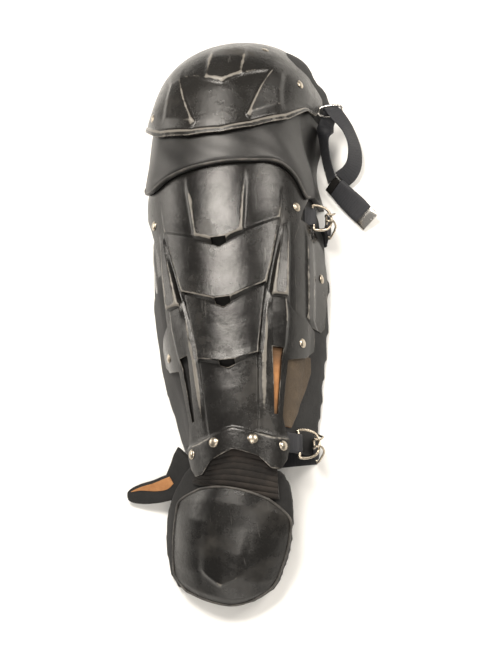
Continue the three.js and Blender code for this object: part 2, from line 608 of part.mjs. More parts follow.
// The ribbed instep panel runs from under the shell's arch to under the toe cap
const INSTEP_RIBS = 7;
const INSTEP_FOOT_SHARE = 0.82;
function instepPad() {
  const columns = [-1, -0.66, -0.33, 0, 0.33, 0.66, 1];
  const steps = INSTEP_RIBS * 2;
  const grid = (drop) => Array.from({ length: steps + 1 }, (_, k) => columns.map((across) => {
    const down = k / steps;
    const rib = drop || k % 2 === 0 ? 0 : INSTEP_RIB;
    const under = 0.2 * RELIEF - SHELL_WALL - 2 * GAP - drop;
    const top = legPoint(LEG_LENGTH * (0.034 - 0.03 * Math.abs(across) ** 1.5), across * 44, under);
    const foot = toePoint(across * INSTEP_FOOT_SHARE * TOE_HALF_WIDTH, 0.05 * TOE_LENGTH, FOOT_FACE - drop);
    return top.lerp(foot, down).add(new THREE.Vector3(0, 0, rib));
  }));
  return wallBetween(grid(0), grid(INSTEP_THICKNESS));
}

// The padded tongue at the plain side of the ankle, all as shares of the leg's radius
const TONGUE_STOPS = table(["x", "y", "z", "width", "thickness"], [
  [-0.81, -0.09, 0.29, 0.29, 0.065],
  [-0.9, -0.1, 0.25, 0.28, 0.07],
  [-1.03, -0.11, 0.19, 0.26, 0.075],
  [-1.2, -0.11, 0.13, 0.23, 0.07],
  [-1.33, -0.11, 0.09, 0.18, 0.06],
  [-1.395, -0.11, 0.075, 0.1, 0.045],
]);
function ankleTongue() {
  return strapAlong(TONGUE_STOPS.map((stop) => ({
    at: new THREE.Vector3(stop.x, stop.y, stop.z).multiplyScalar(LEG_RADIUS),
    wide: new THREE.Vector3(0, 0.9, 0.42),
    width: stop.width * LEG_RADIUS,
    thickness: stop.thickness * LEG_RADIUS,
  })));
}

// Rings, straps and hooks

// A D-shaped ring: its bar is along Y at bar, and it reaches out along a direction
function ringPoints(bar, out) {
  const half = RING_LENGTH / 2;
  const outline = [[0, -half], [0, -half * 0.7], [0, 0], [0, half * 0.7], [0, half],
    [0.45, half], [0.85, half * 0.7], [1, 0], [0.85, -half * 0.7], [0.45, -half]];
  return outline.map(([reach, y]) => (
    bar.clone().addScaledVector(out, reach * RING_DEPTH).add(new THREE.Vector3(0, y, 0))));
}

function ringTab(along, fromSide, bar) {
  const start = legPoint(along, fromSide, TAB_FACE);
  const middle = legPoint(along, (fromSide + FLARE_ANGLE) / 2, TAB_FACE);
  const width = RING_LENGTH - WIRE * 3;
  const wide = alongLeg(along, fromSide);
  const end = bar.clone().sub(middle).normalize();
  return cut(strapAlong([
    { at: start, wide, width },
    { at: middle, wide, width },
    { at: bar.clone().addScaledVector(end, -5), wide, width, thickness: 3 },
    { at: bar.clone().addScaledVector(end, -2), wide, width, thickness: WIRE + 3 },
    { at: bar.clone().addScaledVector(end, 2), wide, width, thickness: WIRE + 3 },
    { at: bar.clone().addScaledVector(end, 3.4), wide, width, thickness: 2.5 },
  ]), [barHole(bar)]);
}

// The direction that runs along the leg at a place on the wrap
function alongLeg(along, side) {
  const half = STRAP_WIDTH / 2;
  return legPoint(along + half, side, STRAP_FACE).sub(legPoint(along - half, side, STRAP_FACE)).normalize();
}

// The hole that a ring's or hook's bar runs through, along Y
function barHole(bar) {
  const radius = WIRE / 2 + GAP;
  const hole = new THREE.CylinderGeometry(radius, radius, RING_LENGTH * 2, 10);
  return hole.translate(bar.x, bar.y, bar.z);
}

// A strap that goes round the back of the leg on the floor, from the plain side's pad
// edge to the hook below the ring on the strap side
function backStrap(along, hookBar) {
  const wide = new THREE.Vector3(0, 1, 0);
  const outside = (side) => legPoint(along, side, STRAP_FACE);
  const edge = legPoint(along, FLOOR_SIDE, PAD_FACE).x;
  const onFloor = (x) => new THREE.Vector3(x, along, STRAP_THICKNESS / 2);
  const corner = [[2.4, 5], [2.2, 2.6], [0.4, 1]];
  const path = [outside(-80), outside(-88), outside(-95)];
  corner.forEach(([out, z]) => path.push(new THREE.Vector3(-edge - out, along, z)));
  path.push(onFloor(-edge + 14), onFloor(-edge / 3), onFloor(edge / 3), onFloor(edge - 14));
  corner.slice().reverse().forEach(([out, z]) => path.push(new THREE.Vector3(edge + out, along, z)));
  const stops = path.map((at, k) => ({ at, wide: k < 3 ? alongLeg(along, -88) : wide }));
  const last = path[path.length - 1];
  const rise = hookBar.clone().sub(last).normalize();
  stops.push({ at: hookBar.clone().addScaledVector(rise, -4), wide, thickness: 3 });
  stops.push({ at: hookBar.clone().addScaledVector(rise, -1.8), wide, thickness: WIRE + 3 });
  stops.push({ at: hookBar.clone().addScaledVector(rise, 1.8), wide, thickness: WIRE + 3 });
  stops.push({ at: hookBar.clone().addScaledVector(rise, 3.2), wide, thickness: 2.5 });
  return cut(strapAlong(stops), [barHole(hookBar)]);
}

function strapNotch(along) {
  const height = STRAP_THICKNESS + 3 * GAP;
  const box = new THREE.BoxGeometry(LEG_RADIUS * 4, STRAP_WIDTH + 2 * GAP, 2 * height);
  return box.translate(0, along, 0);
}

// A bent wire hook: a long loop whose bar is in the strap and whose nose is in the ring
function hookPoints(bar, profile) {
  const half = STRAP_WIDTH / 2 + WIRE;
  const at = ([x, z], y) => new THREE.Vector3(bar.x + x, bar.y + y, bar.z + z);
  const widths = profile.map((_, k) => lerp(half, 4, Math.min(k / 3, 1)));
  const going = profile.map((stop, k) => at(stop, widths[k]));
  const coming = profile.map((stop, k) => at(stop, -widths[k])).reverse();
  return [...going, at(profile[profile.length - 1], 0), ...coming, at(profile[0], 0)];
}
const HOOK_PROFILE = [[0, 0], [6, 5], [10, 14], [8, 20.5], [3, 22.5], [0, 19.5], [0.2, 15.5]];

const STRAP_CLEARANCE = 0.5; // the calf strap lies this far past the side wing's end
const CALF_STRAP_ALONG = WING_ROWS[WING_ROWS.length - 1].t_out * LEG_LENGTH + STRAP_WIDTH / 2 + STRAP_CLEARANCE;
const ANKLE_STRAP_ALONG = 19;
const RING_LIFT = 7.4; // a ring's bar over the pad's face
const RING_SETTLE = 3.4; // how far the ring's weight lets the bar down from there
const CALF_RING_OUT = new THREE.Vector3(0.87, 0, -0.49);
const ANKLE_RING_OUT = new THREE.Vector3(0.93, 0, -0.37);

function ringBar(along) {
  return legPoint(along, FLARE_ANGLE, PAD_FACE + RING_LIFT).add(new THREE.Vector3(0, 0, -RING_SETTLE));
}

function hookBarFor(ringBar, ringOut) {
  const arc = ringBar.clone().addScaledVector(ringOut, RING_DEPTH);
  return arc.add(new THREE.Vector3(-6, 0, -17));
}

// The knee strap: out of the knee ring in a loose loop, back to its slide, and on to a
// folded end with a clip. x, past and z are shares of the leg's radius, past is measured
// from the middle of the knee, and width and thickness are shares of the webbing's.
const KNEE_RING = table(["x", "past", "z"], [
  [1.12, 0.16, 0.43], [1.34, 0.23, 0.3], [1.345, 0.315, 0.34], [1.125, 0.245, 0.47],
]);
const KNEE_STRAP_STOPS = table(["x", "past", "z", "wide_x", "wide_y", "wide_z", "width"], [
  [1.16, -0.56, 0.14, 0.5, -0.2, 0.84, 0.88],
  [1.12, -0.3, 0.2, 0.5, -0.1, 0.85, 0.88],
  [1.12, -0.07, 0.27, 0.6, 0, 0.75, 0.88],
  [1.17, 0.09, 0.32, 0.8, 0.25, -0.5, 0.8],
  [1.22, 0.195, 0.34, 0.84, 0.26, -0.48, 0.76],
  [1.24, 0.26, 0.376, 0.84, 0.26, -0.48, 0.76],
  [1.25, 0.25, 0.42, 0.84, 0.26, -0.48, 0.76],
  [1.3, 0.17, 0.42, 0.82, 0.3, -0.48, 0.8],
  [1.41, 0, 0.34, 0.6, 0.4, -0.7, 0.88],
  [1.47, -0.21, 0.27, -0.55, 0, 0.83, 0.96],
  [1.45, -0.4, 0.21, -0.6, 0.1, 0.79, 0.96],
  [1.38, -0.51, 0.175, -0.6, 0.3, 0.74, 0.96],
]);

// Where both strands meet: a slide, then the folded end and its clip
const KNEE_END_STOPS = table(["x", "past", "z", "wide_x", "wide_y", "wide_z", "width", "thickness"], [
  [1.21, -0.66, 0.125, 0.62, 0.5, 0.6, 0.96, 2.5],
  [1.31, -0.8, 0.12, 0.66, 0.52, 0.54, 1.04, 3],
  [1.41, -0.93, 0.11, 0.72, 0.52, 0.45, 1.08, 3],
  [1.49, -1.04, 0.1, 0.76, 0.52, 0.38, 1.04, 2.25],
]);

function byKnee(stop) {
  return new THREE.Vector3(stop.x, stop.past, stop.z).multiplyScalar(LEG_RADIUS)
    .add(new THREE.Vector3(0, LEG_LENGTH, 0));
}

function strapStops(rows) {
  return rows.map((stop) => ({
    at: byKnee(stop),
    wide: new THREE.Vector3(stop.wide_x, stop.wide_y, stop.wide_z),
    width: stop.width * STRAP_WIDTH,
    thickness: (stop.thickness ?? 1) * STRAP_THICKNESS,
  }));
}

const SLIDE_DEPTH = 9;
const CLIP_LENGTH = 13;
const CLIP_THICKNESS = 2.4;

// The slide that joins the strands, the folded end and the flat clip at its tip
function kneeStrapEnd() {
  const stops = strapStops(KNEE_END_STOPS);
  const [first, second] = stops;
  const [before, last] = stops.slice(-2);
  const back = first.at.clone().sub(second.at).normalize();
  const forward = last.at.clone().sub(before.at).normalize();
  const from = (stop, direction, step, thickness) => ({
    at: stop.at.clone().addScaledVector(direction, step),
    wide: stop.wide,
    width: stop.width,
    thickness,
  });
  const slide = [from(first, back, GAP, 6), from(first, back, GAP + SLIDE_DEPTH, 6)];
  const clip = [0, 0.35, 1].map((share, k) => (
    from(last, forward, GAP + CLIP_LENGTH * share, [CLIP_THICKNESS, 4, CLIP_THICKNESS][k])));
  return [
    ["knee_strap_slide", strapAlong(slide), FINISH.shell],
    ["knee_strap_end", strapAlong(stops), FINISH.strap],
    ["knee_strap_clip", strapAlong(clip), FINISH.metal],
  ];
}

// Rivets: a domed head on a shank, seated in a shallow spot face

const RIVETS = table(["name", "along", "side", "on"], [
  ["rivet_top_right", 0.692, 54, "shin"],
  ["rivet_top_left", 0.692, -54, "shin"],
  ["rivet_lug_right", 0.315, 62, "shin"],
  ["rivet_lug_left", 0.315, -62, "shin"],
  ["rivet_ankle_right", 0.028, 48, "shin"],
  ["rivet_ankle_left", 0.028, -48, "shin"],
  ["rivet_arch_right", 0.042, 18, "shin"],
  ["rivet_arch_left", 0.042, -18, "shin"],
  ["rivet_wing_right", 0.53, 84, "right"],
  ["rivet_wing_left", 0.53, -84, "left"],
  ["rivet_cap_right", 1.09, 60, "cap"],
  ["rivet_cap_left", 1.0, -50, "cap"],
  ["rivet_cap_top", 1.18, 30, "cap"],
]);

function rivetForm(clearance, above, below) {
  const head = RIVET_HEAD_RADIUS + clearance;
  const shank = RIVET_SHANK_RADIUS + clearance;
  const crown = clearance ? [[head, above], [0, above]]
    : [[head * 0.86, above * 0.55], [head * 0.5, above * 0.9], [0, above]];
  return lathe([[0, -below], [shank, -below], [shank, 0], [head, 0], ...crown]);
}

// Where a line down onto the leg meets a shell, and the way out of the shell there
function seatOn(geometry, along, side) {
  const start = legPoint(along * LEG_LENGTH, side, 40);
  const inward = legPoint(along * LEG_LENGTH, side, 0).sub(start).normalize();
  const shell = new THREE.Mesh(geometry, new THREE.MeshBasicMaterial({ side: THREE.DoubleSide }));
  const hit = new THREE.Raycaster(start, inward).intersectObject(shell)[0];
  return { place: hit.point, out: inward.negate() };
}

const RIVET_SINK = 0.4;
const SPOT_FACE_HEIGHT = 12;

function rivetIn(shells, rivet) {
  const { place, out } = seatOn(shells[rivet.on], rivet.along, rivet.side);
  const seat = place.clone().addScaledVector(out, -RIVET_SINK);
  const floor = seat.clone().addScaledVector(out, -GAP);
  const cutter = standOn(rivetForm(GAP, SPOT_FACE_HEIGHT, SPOT_FACE_HEIGHT), floor, out);
  shells[rivet.on] = cut(shells[rivet.on], [cutter]);
  const wall = rivet.on === "shin" || rivet.on === "cap" ? SHELL_WALL : WING_WALL;
  return standOn(rivetForm(0, RIVET_HEAD_HEIGHT, wall - RIVET_SINK - GAP), seat, out);
}

const RINGS = [
  { name: "calf", along: CALF_STRAP_ALONG, bar: ringBar(CALF_STRAP_ALONG), out: CALF_RING_OUT, from: 66 },
  { name: "ankle", along: ANKLE_STRAP_ALONG, bar: ringBar(ANKLE_STRAP_ALONG), out: ANKLE_RING_OUT, from: 58 },
];

function ringPieces({ name, along, bar, out, from }) {
  const hookBar = hookBarFor(bar, out);
  return {
    [`${name}_ring`]: [wireLoop(ringPoints(bar, out), WIRE), FINISH.metal],
    [`${name}_ring_tab`]: [ringTab(along, from, bar), FINISH.strap],
    [`${name}_strap`]: [backStrap(along, hookBar), FINISH.strap],
    [`${name}_hook`]: [wireLoop(hookPoints(hookBar, HOOK_PROFILE), WIRE * 0.8), FINISH.metal],
  };
}

function build() {
  const shells = { shin: shinShell(), cap: kneeCapShell() };
  shells.left = clearOf(sideWing(-1), [shells.shin]);
  shells.right = clearOf(sideWing(1), [shells.shin]);
  const rivets = RIVETS.map((rivet) => [rivet.name, rivetIn(shells, rivet)]);
  const foam = clearOf(foamPanel(), [shells.shin]);
  const toe = toeCap();
  const instep = instepPad();
  const foot = clearOf(cut(footPad(), [toeCap({ rim: GAP, face: FOOT_PAD_CLEARANCE })]), [instep]);
  const straps = Object.assign({}, ...RINGS.map(ringPieces));
  const notches = [strapNotch(CALF_STRAP_ALONG), strapNotch(ANKLE_STRAP_ALONG)];
  const onPad = Object.values(straps).map(([geometry]) => geometry);
  const shinWrap = clearOf(cut(shinPad(), notches), [foot, instep, ...onPad]);
  const kneeRing = wireLoop(KNEE_RING.map(byKnee), WIRE);
  const kneePieces = kneeStrapEnd();
  const kneeLoop = clearOf(strapAlong(strapStops(KNEE_STRAP_STOPS)), [kneeRing, kneePieces[0][1]]);
  const kneeThings = [kneeRing, kneeLoop, ...kneePieces.map(([, geometry]) => geometry)];
  add("shin_shell", shells.shin, FINISH.shell);
  add("knee_cap_shell", shells.cap, FINISH.shell);
  add("knee_band", clearOf(kneeBand(), [shells.cap, shells.shin, ...kneeThings, ...onPad]), FINISH.binding);
  add("knee_pad", clearOf(kneePad(), [shells.cap, ...kneeThings]), FINISH.pad);
  add("shin_pad", shinWrap, FINISH.pad);
  add("side_wing_left", shells.left, FINISH.shell);
  add("side_wing_right", shells.right, FINISH.shell);
  add("foam_panel", clearOf(foam, onPad), FINISH.lining);
  add("toe_cap", toe, FINISH.shell);
  add("foot_pad", foot, FINISH.pad);
  add("instep_pad", instep, FINISH.instep);
  add("ankle_tongue", clearOf(ankleTongue(), [foot, ...onPad]), FINISH.pad);
  Object.entries(straps).forEach(([name, [geometry, material]]) => add(name, geometry, material));
  add("knee_strap", kneeLoop, FINISH.strap);
  add("knee_ring", kneeRing, FINISH.metal);
  kneePieces.forEach(([name, geometry, material]) => add(name, geometry, material));
  rivets.forEach(([name, geometry]) => add(name, mergeVertices(bare(geometry)), FINISH.metal));
}

build();

// The origin is the middle of the bottom of the whole
const bounds = new THREE.Box3().setFromObject(part);
const middle = bounds.getCenter(new THREE.Vector3());
part.position.set(-middle.x, -middle.y, -bounds.min.z);

export default part;
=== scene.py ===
# %% [markdown]
# Catcher's leg guard on a pale floor.
# The hard shells, straps and rings are drawn again on fine grids over the same leg surface
# as the CAD part, and the pads are puffed from the CAD solids with a short cloth simulation.
# Everything is worked out in millimetres with y = 0 at the ankle, and moved to the frame's
# metres when its mesh is made.

import math

import bpy
import numpy as np
from mathutils import Matrix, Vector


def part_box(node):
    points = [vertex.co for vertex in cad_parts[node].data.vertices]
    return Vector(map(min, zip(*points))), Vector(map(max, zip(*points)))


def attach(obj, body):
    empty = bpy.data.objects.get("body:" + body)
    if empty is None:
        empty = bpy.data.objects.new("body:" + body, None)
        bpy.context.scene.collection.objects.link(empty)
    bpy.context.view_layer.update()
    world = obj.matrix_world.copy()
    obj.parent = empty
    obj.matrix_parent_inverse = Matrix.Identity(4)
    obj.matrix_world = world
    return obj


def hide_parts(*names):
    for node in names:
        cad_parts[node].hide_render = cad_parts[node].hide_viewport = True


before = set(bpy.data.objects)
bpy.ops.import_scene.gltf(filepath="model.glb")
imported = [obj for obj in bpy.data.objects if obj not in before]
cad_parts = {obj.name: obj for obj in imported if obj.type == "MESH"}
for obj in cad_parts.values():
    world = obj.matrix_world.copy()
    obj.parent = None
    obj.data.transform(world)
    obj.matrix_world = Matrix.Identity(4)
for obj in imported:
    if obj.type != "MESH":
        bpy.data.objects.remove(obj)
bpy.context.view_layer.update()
PAD_TOP = 336.0  # the shin pad's square end, in mm along the leg
MM = 1000.0  # millimetres in a metre
wing_low, wing_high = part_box("side_wing_left")[0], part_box("side_wing_right")[1]
ORIGIN = np.array([
    (wing_low.x + wing_high.x) / 2 * MM,
    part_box("shin_pad")[1].y * MM - PAD_TOP,
    0.0,
])


def to_frame(points):
    """Design millimetres to the frame's metres."""
    return (np.asarray(points, float) + ORIGIN) / MM


# %% [markdown]
# The camera stands where the photograph was taken from, above the toe and to its right, and
# looks down on the guard at about 67 degrees. The photograph is turned a little about its own
# middle, so the camera is given the direction of the picture's rows too.

# %% Camera
EYE = np.array([220.4, -284.4, 1166.4])
TARGET = np.array([10.0, 158.0, 40.0])
LENS = 60.0
SENSOR = 36.0
ROW_TURN = math.radians(7)
PHOTO_ROW = np.array([math.cos(ROW_TURN), -math.sin(ROW_TURN), 0])


def look(eye, target, right=None):
    """The matrix of a camera or lamp at eye; right is the way along its picture's rows."""
    ahead = (target - eye) / np.linalg.norm(target - eye)
    right = np.cross(ahead, [0, 0, 1]) if right is None else right - ahead * (right @ ahead)
    right /= np.linalg.norm(right)
    turn = np.eye(4)
    turn[:3, 0], turn[:3, 1], turn[:3, 2] = right, np.cross(right, ahead), -ahead
    turn[:3, 3] = to_frame(eye)
    return Matrix(turn.tolist())


camera = bpy.data.objects.new("camera", bpy.data.cameras.new("camera"))
bpy.context.scene.collection.objects.link(camera)
camera.data.lens = LENS
camera.data.sensor_width = SENSOR
camera.matrix_world = look(EYE, TARGET, PHOTO_ROW)
bpy.context.scene.camera = camera
print("camera", [round(x, 3) for x in camera.location])

# %% [markdown]
# The leg surface, as in the CAD part. A place on it has three numbers: how far it is along
# the crest, how far round to the side in degrees, and how high it is over the surface.

# %% Leg surface
LEG_LENGTH = 400.0
LEG_RADIUS = 100.0
CREST_HEIGHT = 139.0
KNEE_BEND_RADIUS = 105.0
KNEE_FULLNESS = 0.6
FLARE_ANGLE = 72.0
FLOOR_SIDE = 100.0


def table(columns, rows):
    return {name: np.array([row[k] for row in rows], float) for k, name in enumerate(columns.split())}


LEG_SECTIONS = table("along crest radius drift flare", [
    [-0.06, 0.669, 0.58, 0, 0.3],
    [0, 0.683, 0.62, 0, 0.3],
    [0.225, 0.741, 0.78, 0, 0.5],
    [0.388, 0.813, 0.9, 0, 0.44],
    [0.555, 0.885, 0.98, 0, 0.36],
    [0.68, 0.935, 1.01, 0, 0.22],
    [0.79, 0.978, 1.02, 0, 0.04],
    [0.9, 0.996, 0.925, 0.01, 0.06],
    [1, 1, 0.89, 0.04, 0.2],
    [1.1, 1, 0.88, 0.1, 0.3],
    [1.35, 1, 0.84, 0.16, 0.3],
])


def smooth(rows, column, along):
    """A smooth curve through one column of a table, by its along column."""
    x, y = rows["along"], rows[column]
    number = np.arange(len(x))
    before, after = np.maximum(number - 1, 0), np.minimum(number + 1, len(x) - 1)
    slope = (y[after] - y[before]) / (x[after] - x[before])
    k = np.clip(np.searchsorted(x, along, side="right") - 1, 0, len(x) - 2)
    span = x[k + 1] - x[k]
    f = np.clip((along - x[k]) / span, 0, 1)
    rise = (2 * f**3 - 3 * f**2 + 1) * y[k] + (3 * f**2 - 2 * f**3) * y[k + 1]
    return rise + span * ((f**3 - 2 * f**2 + f) * slope[k] + (f**3 - f**2) * slope[k + 1])


def leg_point(t, side, height):
    t, side, height = np.broadcast_arrays(*[np.asarray(v, float) for v in (t, side, height)])
    along = t / LEG_LENGTH
    radius = LEG_RADIUS * smooth(LEG_SECTIONS, "radius", along)
    crest = CREST_HEIGHT * smooth(LEG_SECTIONS, "crest", along)
    bend = np.maximum(t - LEG_LENGTH, 0) / KNEE_BEND_RADIUS
    turn = np.radians(np.sign(side) * np.minimum(np.abs(side), FLARE_ANGLE))
    reach, lean, up = radius + height, KNEE_BEND_RADIUS - radius, np.cos(turn)
    x = reach * np.sin(turn) + LEG_RADIUS * smooth(LEG_SECTIONS, "drift", along)
    past_knee = LEG_LENGTH + (lean + reach * up**KNEE_FULLNESS) * np.sin(bend)
    over_knee = CREST_HEIGHT - KNEE_BEND_RADIUS + (lean + reach * up) * np.cos(bend)
    y = np.where(bend > 0, past_knee, t)
    z = np.where(bend > 0, over_knee, crest - radius + reach * up)
    drop = z * np.maximum((np.abs(side) - FLARE_ANGLE) / (FLOOR_SIDE - FLARE_ANGLE), 0)
    flare = drop * smooth(LEG_SECTIONS, "flare", along)
    return np.stack([x + np.sign(side) * flare, y, z - drop], -1)


print("crest at the knee", leg_point(400, 0, 0))

# %% [markdown]
# The toe flap has a frame of its own: u runs across it, w down it, and lift over its arch.

# %% Toe surface
TOE_START = np.array([-5.0, -29.0, 72.0])
TOE_PITCH = math.radians(24)
TOE_SKEW = math.radians(15)
TOE_LENGTH = 124.0
TOE_HALF_WIDTH = 60.0
TOE_ARCH_RADIUS = 110.0
TOE_DOWN = np.array([
    -math.sin(TOE_SKEW) * math.cos(TOE_PITCH),
    -math.cos(TOE_SKEW) * math.cos(TOE_PITCH),
    -math.sin(TOE_PITCH),
])
TOE_ACROSS = np.array([math.cos(TOE_SKEW), -math.sin(TOE_SKEW), 0])
TOE_UP = np.cross(TOE_DOWN, TOE_ACROSS)


def toe_point(u, w, lift, least=0.0):
    u, w, lift = (np.asarray(v, float)[..., None] for v in (u, w, lift))
    point = TOE_START + TOE_ACROSS * u + TOE_DOWN * w + TOE_UP * (lift - u**2 / (2 * TOE_ARCH_RADIUS))
    point[..., 2] = np.maximum(point[..., 2], least)
    return point


print("toe cap's lower end", toe_point(0, TOE_LENGTH, 0))

# %% [markdown]
# Meshes are made from grids of points. A coarse grid from a table is made finer until its
# cells are about as wide as the step, and then its ribs are rounded a little.

# %% Grids and meshes
CURVE_STEPS = 24  # steps of a smooth curve between two given points


def unit(v):
    return v / np.linalg.norm(v, axis=-1, keepdims=True)


def run_length(points):
    """How far along a run of points each one is."""
    return np.concatenate([[0], np.cumsum(np.linalg.norm(np.diff(points, axis=0), axis=1))])


def curve_of(points, count, closed=False):
    """A smooth run of count points through the given ones, evenly spaced."""
    points = np.asarray(points, float)
    ring = points[np.arange(-1, len(points) + 2) % len(points)] if closed else np.vstack(
        [2 * points[0] - points[1], points, 2 * points[-1] - points[-2]])
    f = np.linspace(0, 1, CURVE_STEPS, endpoint=False)[:, None]
    dense = []
    for a, b, c, d in zip(ring, ring[1:], ring[2:], ring[3:]):
        square, cube = 2 * a - 5 * b + 4 * c - d, 3 * b - a - 3 * c + d
        dense.append(0.5 * (2 * b + (c - a) * f + square * f**2 + cube * f**3))
    dense = np.vstack([*dense, points[:1] if closed else points[-1:]])
    length = run_length(dense[:, :3])
    at = np.linspace(0, length[-1], count, endpoint=not closed)
    return np.stack([np.interp(at, length, dense[:, k]) for k in range(dense.shape[1])], -1)


def finer(values, place, step):
    """(values on a finer grid, the coarse row of each cell, the coarse column of each cell)."""
    cells = []
    for axis in (0, 1):
        gap = np.linalg.norm(np.diff(place(values), axis=axis), axis=-1).max(axis=1 - axis)
        pieces = np.clip(np.round(gap / step), 1, 60).astype(int)
        stops = np.concatenate([[0], *[k + np.arange(1, n + 1) / n for k, n in enumerate(pieces)]])
        k = np.minimum(stops.astype(int), len(pieces) - 1)
        f = (stops - k).reshape([-1, 1, 1] if axis == 0 else [1, -1, 1])
        values = values.take(k, axis) * (1 - f) + values.take(k + 1, axis) * f
        cells.append(k[:-1])
    return values, cells[0], cells[1]


def rounded(points, passes):
    """Rounds a grid's ribs and steps, with its outline held."""
    points = points.copy()
    for _ in range(passes):
        points[1:-1] += (points[:-2] + points[2:] - 2 * points[1:-1]) / 4
        points[:, 1:-1] += (points[:, :-2] + points[:, 2:] - 2 * points[:, 1:-1]) / 4
    return points


def ridge_share(points, reach=6, full=0.5):
    """How far each point stands out of the grid round it, from -1 in a crease to 1 on a rib."""
    out = points - rounded(points, reach)
    normal = np.cross(np.gradient(points, axis=1), np.gradient(points, axis=0))
    normal /= np.linalg.norm(normal, axis=-1, keepdims=True) + 1e-9
    if normal[..., 2].mean() < 0:
        normal = -normal
    return np.clip((out * normal).sum(-1) / full, -1, 1)


def make_mesh(name, points, faces, material, edge=None, uv=None, sharp=45):
    """A piece from a list of face arrays; edge is a share kept on each point, for the plastic's wear and
    for the foam's painted shade.
    """
    used, numbers = np.unique(np.concatenate([f.ravel() for f in faces]), return_inverse=True)
    flat = to_frame(points.reshape(-1, 3)[used])
    mesh = bpy.data.meshes.new(name)
    lists, start = [], 0
    for f in faces:
        lists += numbers[start:start + f.size].reshape(f.shape).tolist()
        start += f.size
    mesh.from_pydata(flat.tolist(), [], lists)
    if edge is not None:
        shares = mesh.attributes.new("edge", "FLOAT", "POINT")
        shares.data.foreach_set("value", edge.ravel()[used].astype(np.float32))
    if uv is not None:
        corner = np.zeros(len(mesh.loops), np.int32)
        mesh.loops.foreach_get("vertex_index", corner)
        layer = mesh.uv_layers.new(name="cloth")
        layer.data.foreach_set("uv", uv.reshape(-1, 2)[used][corner].ravel().astype(np.float32))
    mesh.shade_smooth()
    mesh.set_sharp_from_angle(angle=math.radians(sharp))
    piece = bpy.data.objects.new(name, mesh)
    bpy.context.scene.collection.objects.link(piece)
    return dress(piece, material)


def dress(piece, material):
    """The piece gets its material, and rides the guard's one body."""
    piece.data.materials.clear()
    piece.data.materials.append(material)
    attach(piece, "root")
    return piece


def volume(points, quads):
    """A multiple of the volume that quads close in, below 0 where they face inward."""
    a, b, c, d = (points.reshape(-1, 3)[quads[:, k]] for k in range(4))
    return (a * np.cross(b, c)).sum() + (a * np.cross(c, d)).sum()


def make_wall(name, outer, inner, material, slot, hole=None, edge=None, bevel=0.5):
    """A wall between two fine grids, with walls round its holes."""
    rows, columns = outer.shape[:2]
    solid = np.ones((rows - 1, columns - 1), bool) if hole is None else ~hole
    index = np.arange(rows * columns).reshape(rows, columns)
    corners = np.stack([index[:-1, :-1], index[:-1, 1:], index[1:, 1:], index[1:, :-1]], -1)
    inside = rows * columns
    faces = [corners[solid], corners[solid][:, ::-1] + inside]
    ring = np.pad(solid, 1)
    sides = {(-1, 0): (0, 1), (0, 1): (1, 2), (1, 0): (2, 3), (0, -1): (3, 0)}
    for (down, over), (a, b) in sides.items():
        beside = ring[1 + down:rows + down, 1 + over:columns + over]
        c = corners[solid & ~beside]
        faces.append(np.stack([c[:, b], c[:, a], c[:, a] + inside, c[:, b] + inside], -1))
    quads = np.vstack(faces)
    points = np.concatenate([outer.reshape(-1, 3), inner.reshape(-1, 3)])
    if volume(points, quads) < 0:
        quads = quads[:, ::-1]
    both = None if edge is None else np.concatenate([edge.ravel(), np.zeros(inside)])
    piece = make_mesh(name, points, [quads], material, edge=both, sharp=50)
    if bevel:
        rim = piece.modifiers.new("rim", "BEVEL")
        rim.width, rim.segments, rim.limit_method = bevel / MM, 2, "ANGLE"
        rim.angle_limit = math.radians(60)
    return piece


def make_loft(name, rings, material, closed=False, uv=None, sharp=45):
    """A solid through a run of equal rings of points."""
    count, sides = rings.shape[:2]
    index = np.arange(count * sides).reshape(count, sides)
    here, there = (index, np.roll(index, -1, 0)) if closed else (index[:-1], index[1:])
    quads = np.stack([here, np.roll(here, -1, 1), np.roll(there, -1, 1), there], -1).reshape(-1, 4)
    faces = [quads] if closed else [quads, index[:1, ::-1], index[-1:]]
    if volume(rings, quads) < 0:
        faces = [f[:, ::-1] for f in faces]
    return make_mesh(name, rings, faces, material, uv=uv, sharp=sharp)


def cross_frames(points, closed):
    """Two directions across a run of points, carried along it without twist."""
    ahead = np.roll(points, -1, 0) - np.roll(points, 1, 0) if closed else np.gradient(points, axis=0)
    ahead /= np.linalg.norm(ahead, axis=1, keepdims=True)
    one = np.cross(ahead[0], [0.3, 0.2, 1.0])
    across = []
    for direction in ahead:
        one = one - direction * (one @ direction)
        one = one / np.linalg.norm(one)
        across.append(one)
    across = np.array(across)
    return across, np.cross(ahead, across)


def make_tube(name, points, radius, material, closed=False, sides=12, taper=0):
    """A round cord of points; taper is how many rings narrow at each free end."""
    across, upright = cross_frames(points, closed)
    angle = np.linspace(0, 2 * np.pi, sides, endpoint=False)[None, :, None]
    size = np.full(len(points), radius)
    for k in range(taper):
        size[k] = size[-1 - k] = radius * math.sin((k + 0.6) / taper * math.pi / 2)
    size = size[:, None, None]
    round_it = np.cos(angle) * across[:, None] + np.sin(angle) * upright[:, None]
    rings = points[:, None] + size * round_it
    length = run_length(points)
    around = np.linspace(0, 2 * np.pi * radius, sides, endpoint=False)
    uv = np.stack(np.broadcast_arrays(around[None], length[:, None]), -1) / MM
    return make_loft(name, rings, material, closed=closed, uv=uv, sharp=60)


print("mesh tools ready")

# %% [markdown]
# Effects that several materials share are node groups with named inputs: scuffs, edge wear,
# webbing weave, cloth grain and dust. They give masks and heights, and the shader uses them.

# %% Node groups


def node(tree, kind, links=None, **settings):
    """A node with its settings, and with sockets linked from a dict of name to socket or value."""
    made = tree.nodes.new(kind)
    for key, value in settings.items():
        setattr(made, key, value)
    for key, value in (links or {}).items():
        if isinstance(value, bpy.types.NodeSocket):
            tree.links.new(value, made.inputs[key])
        else:
            made.inputs[key].default_value = value
    return made


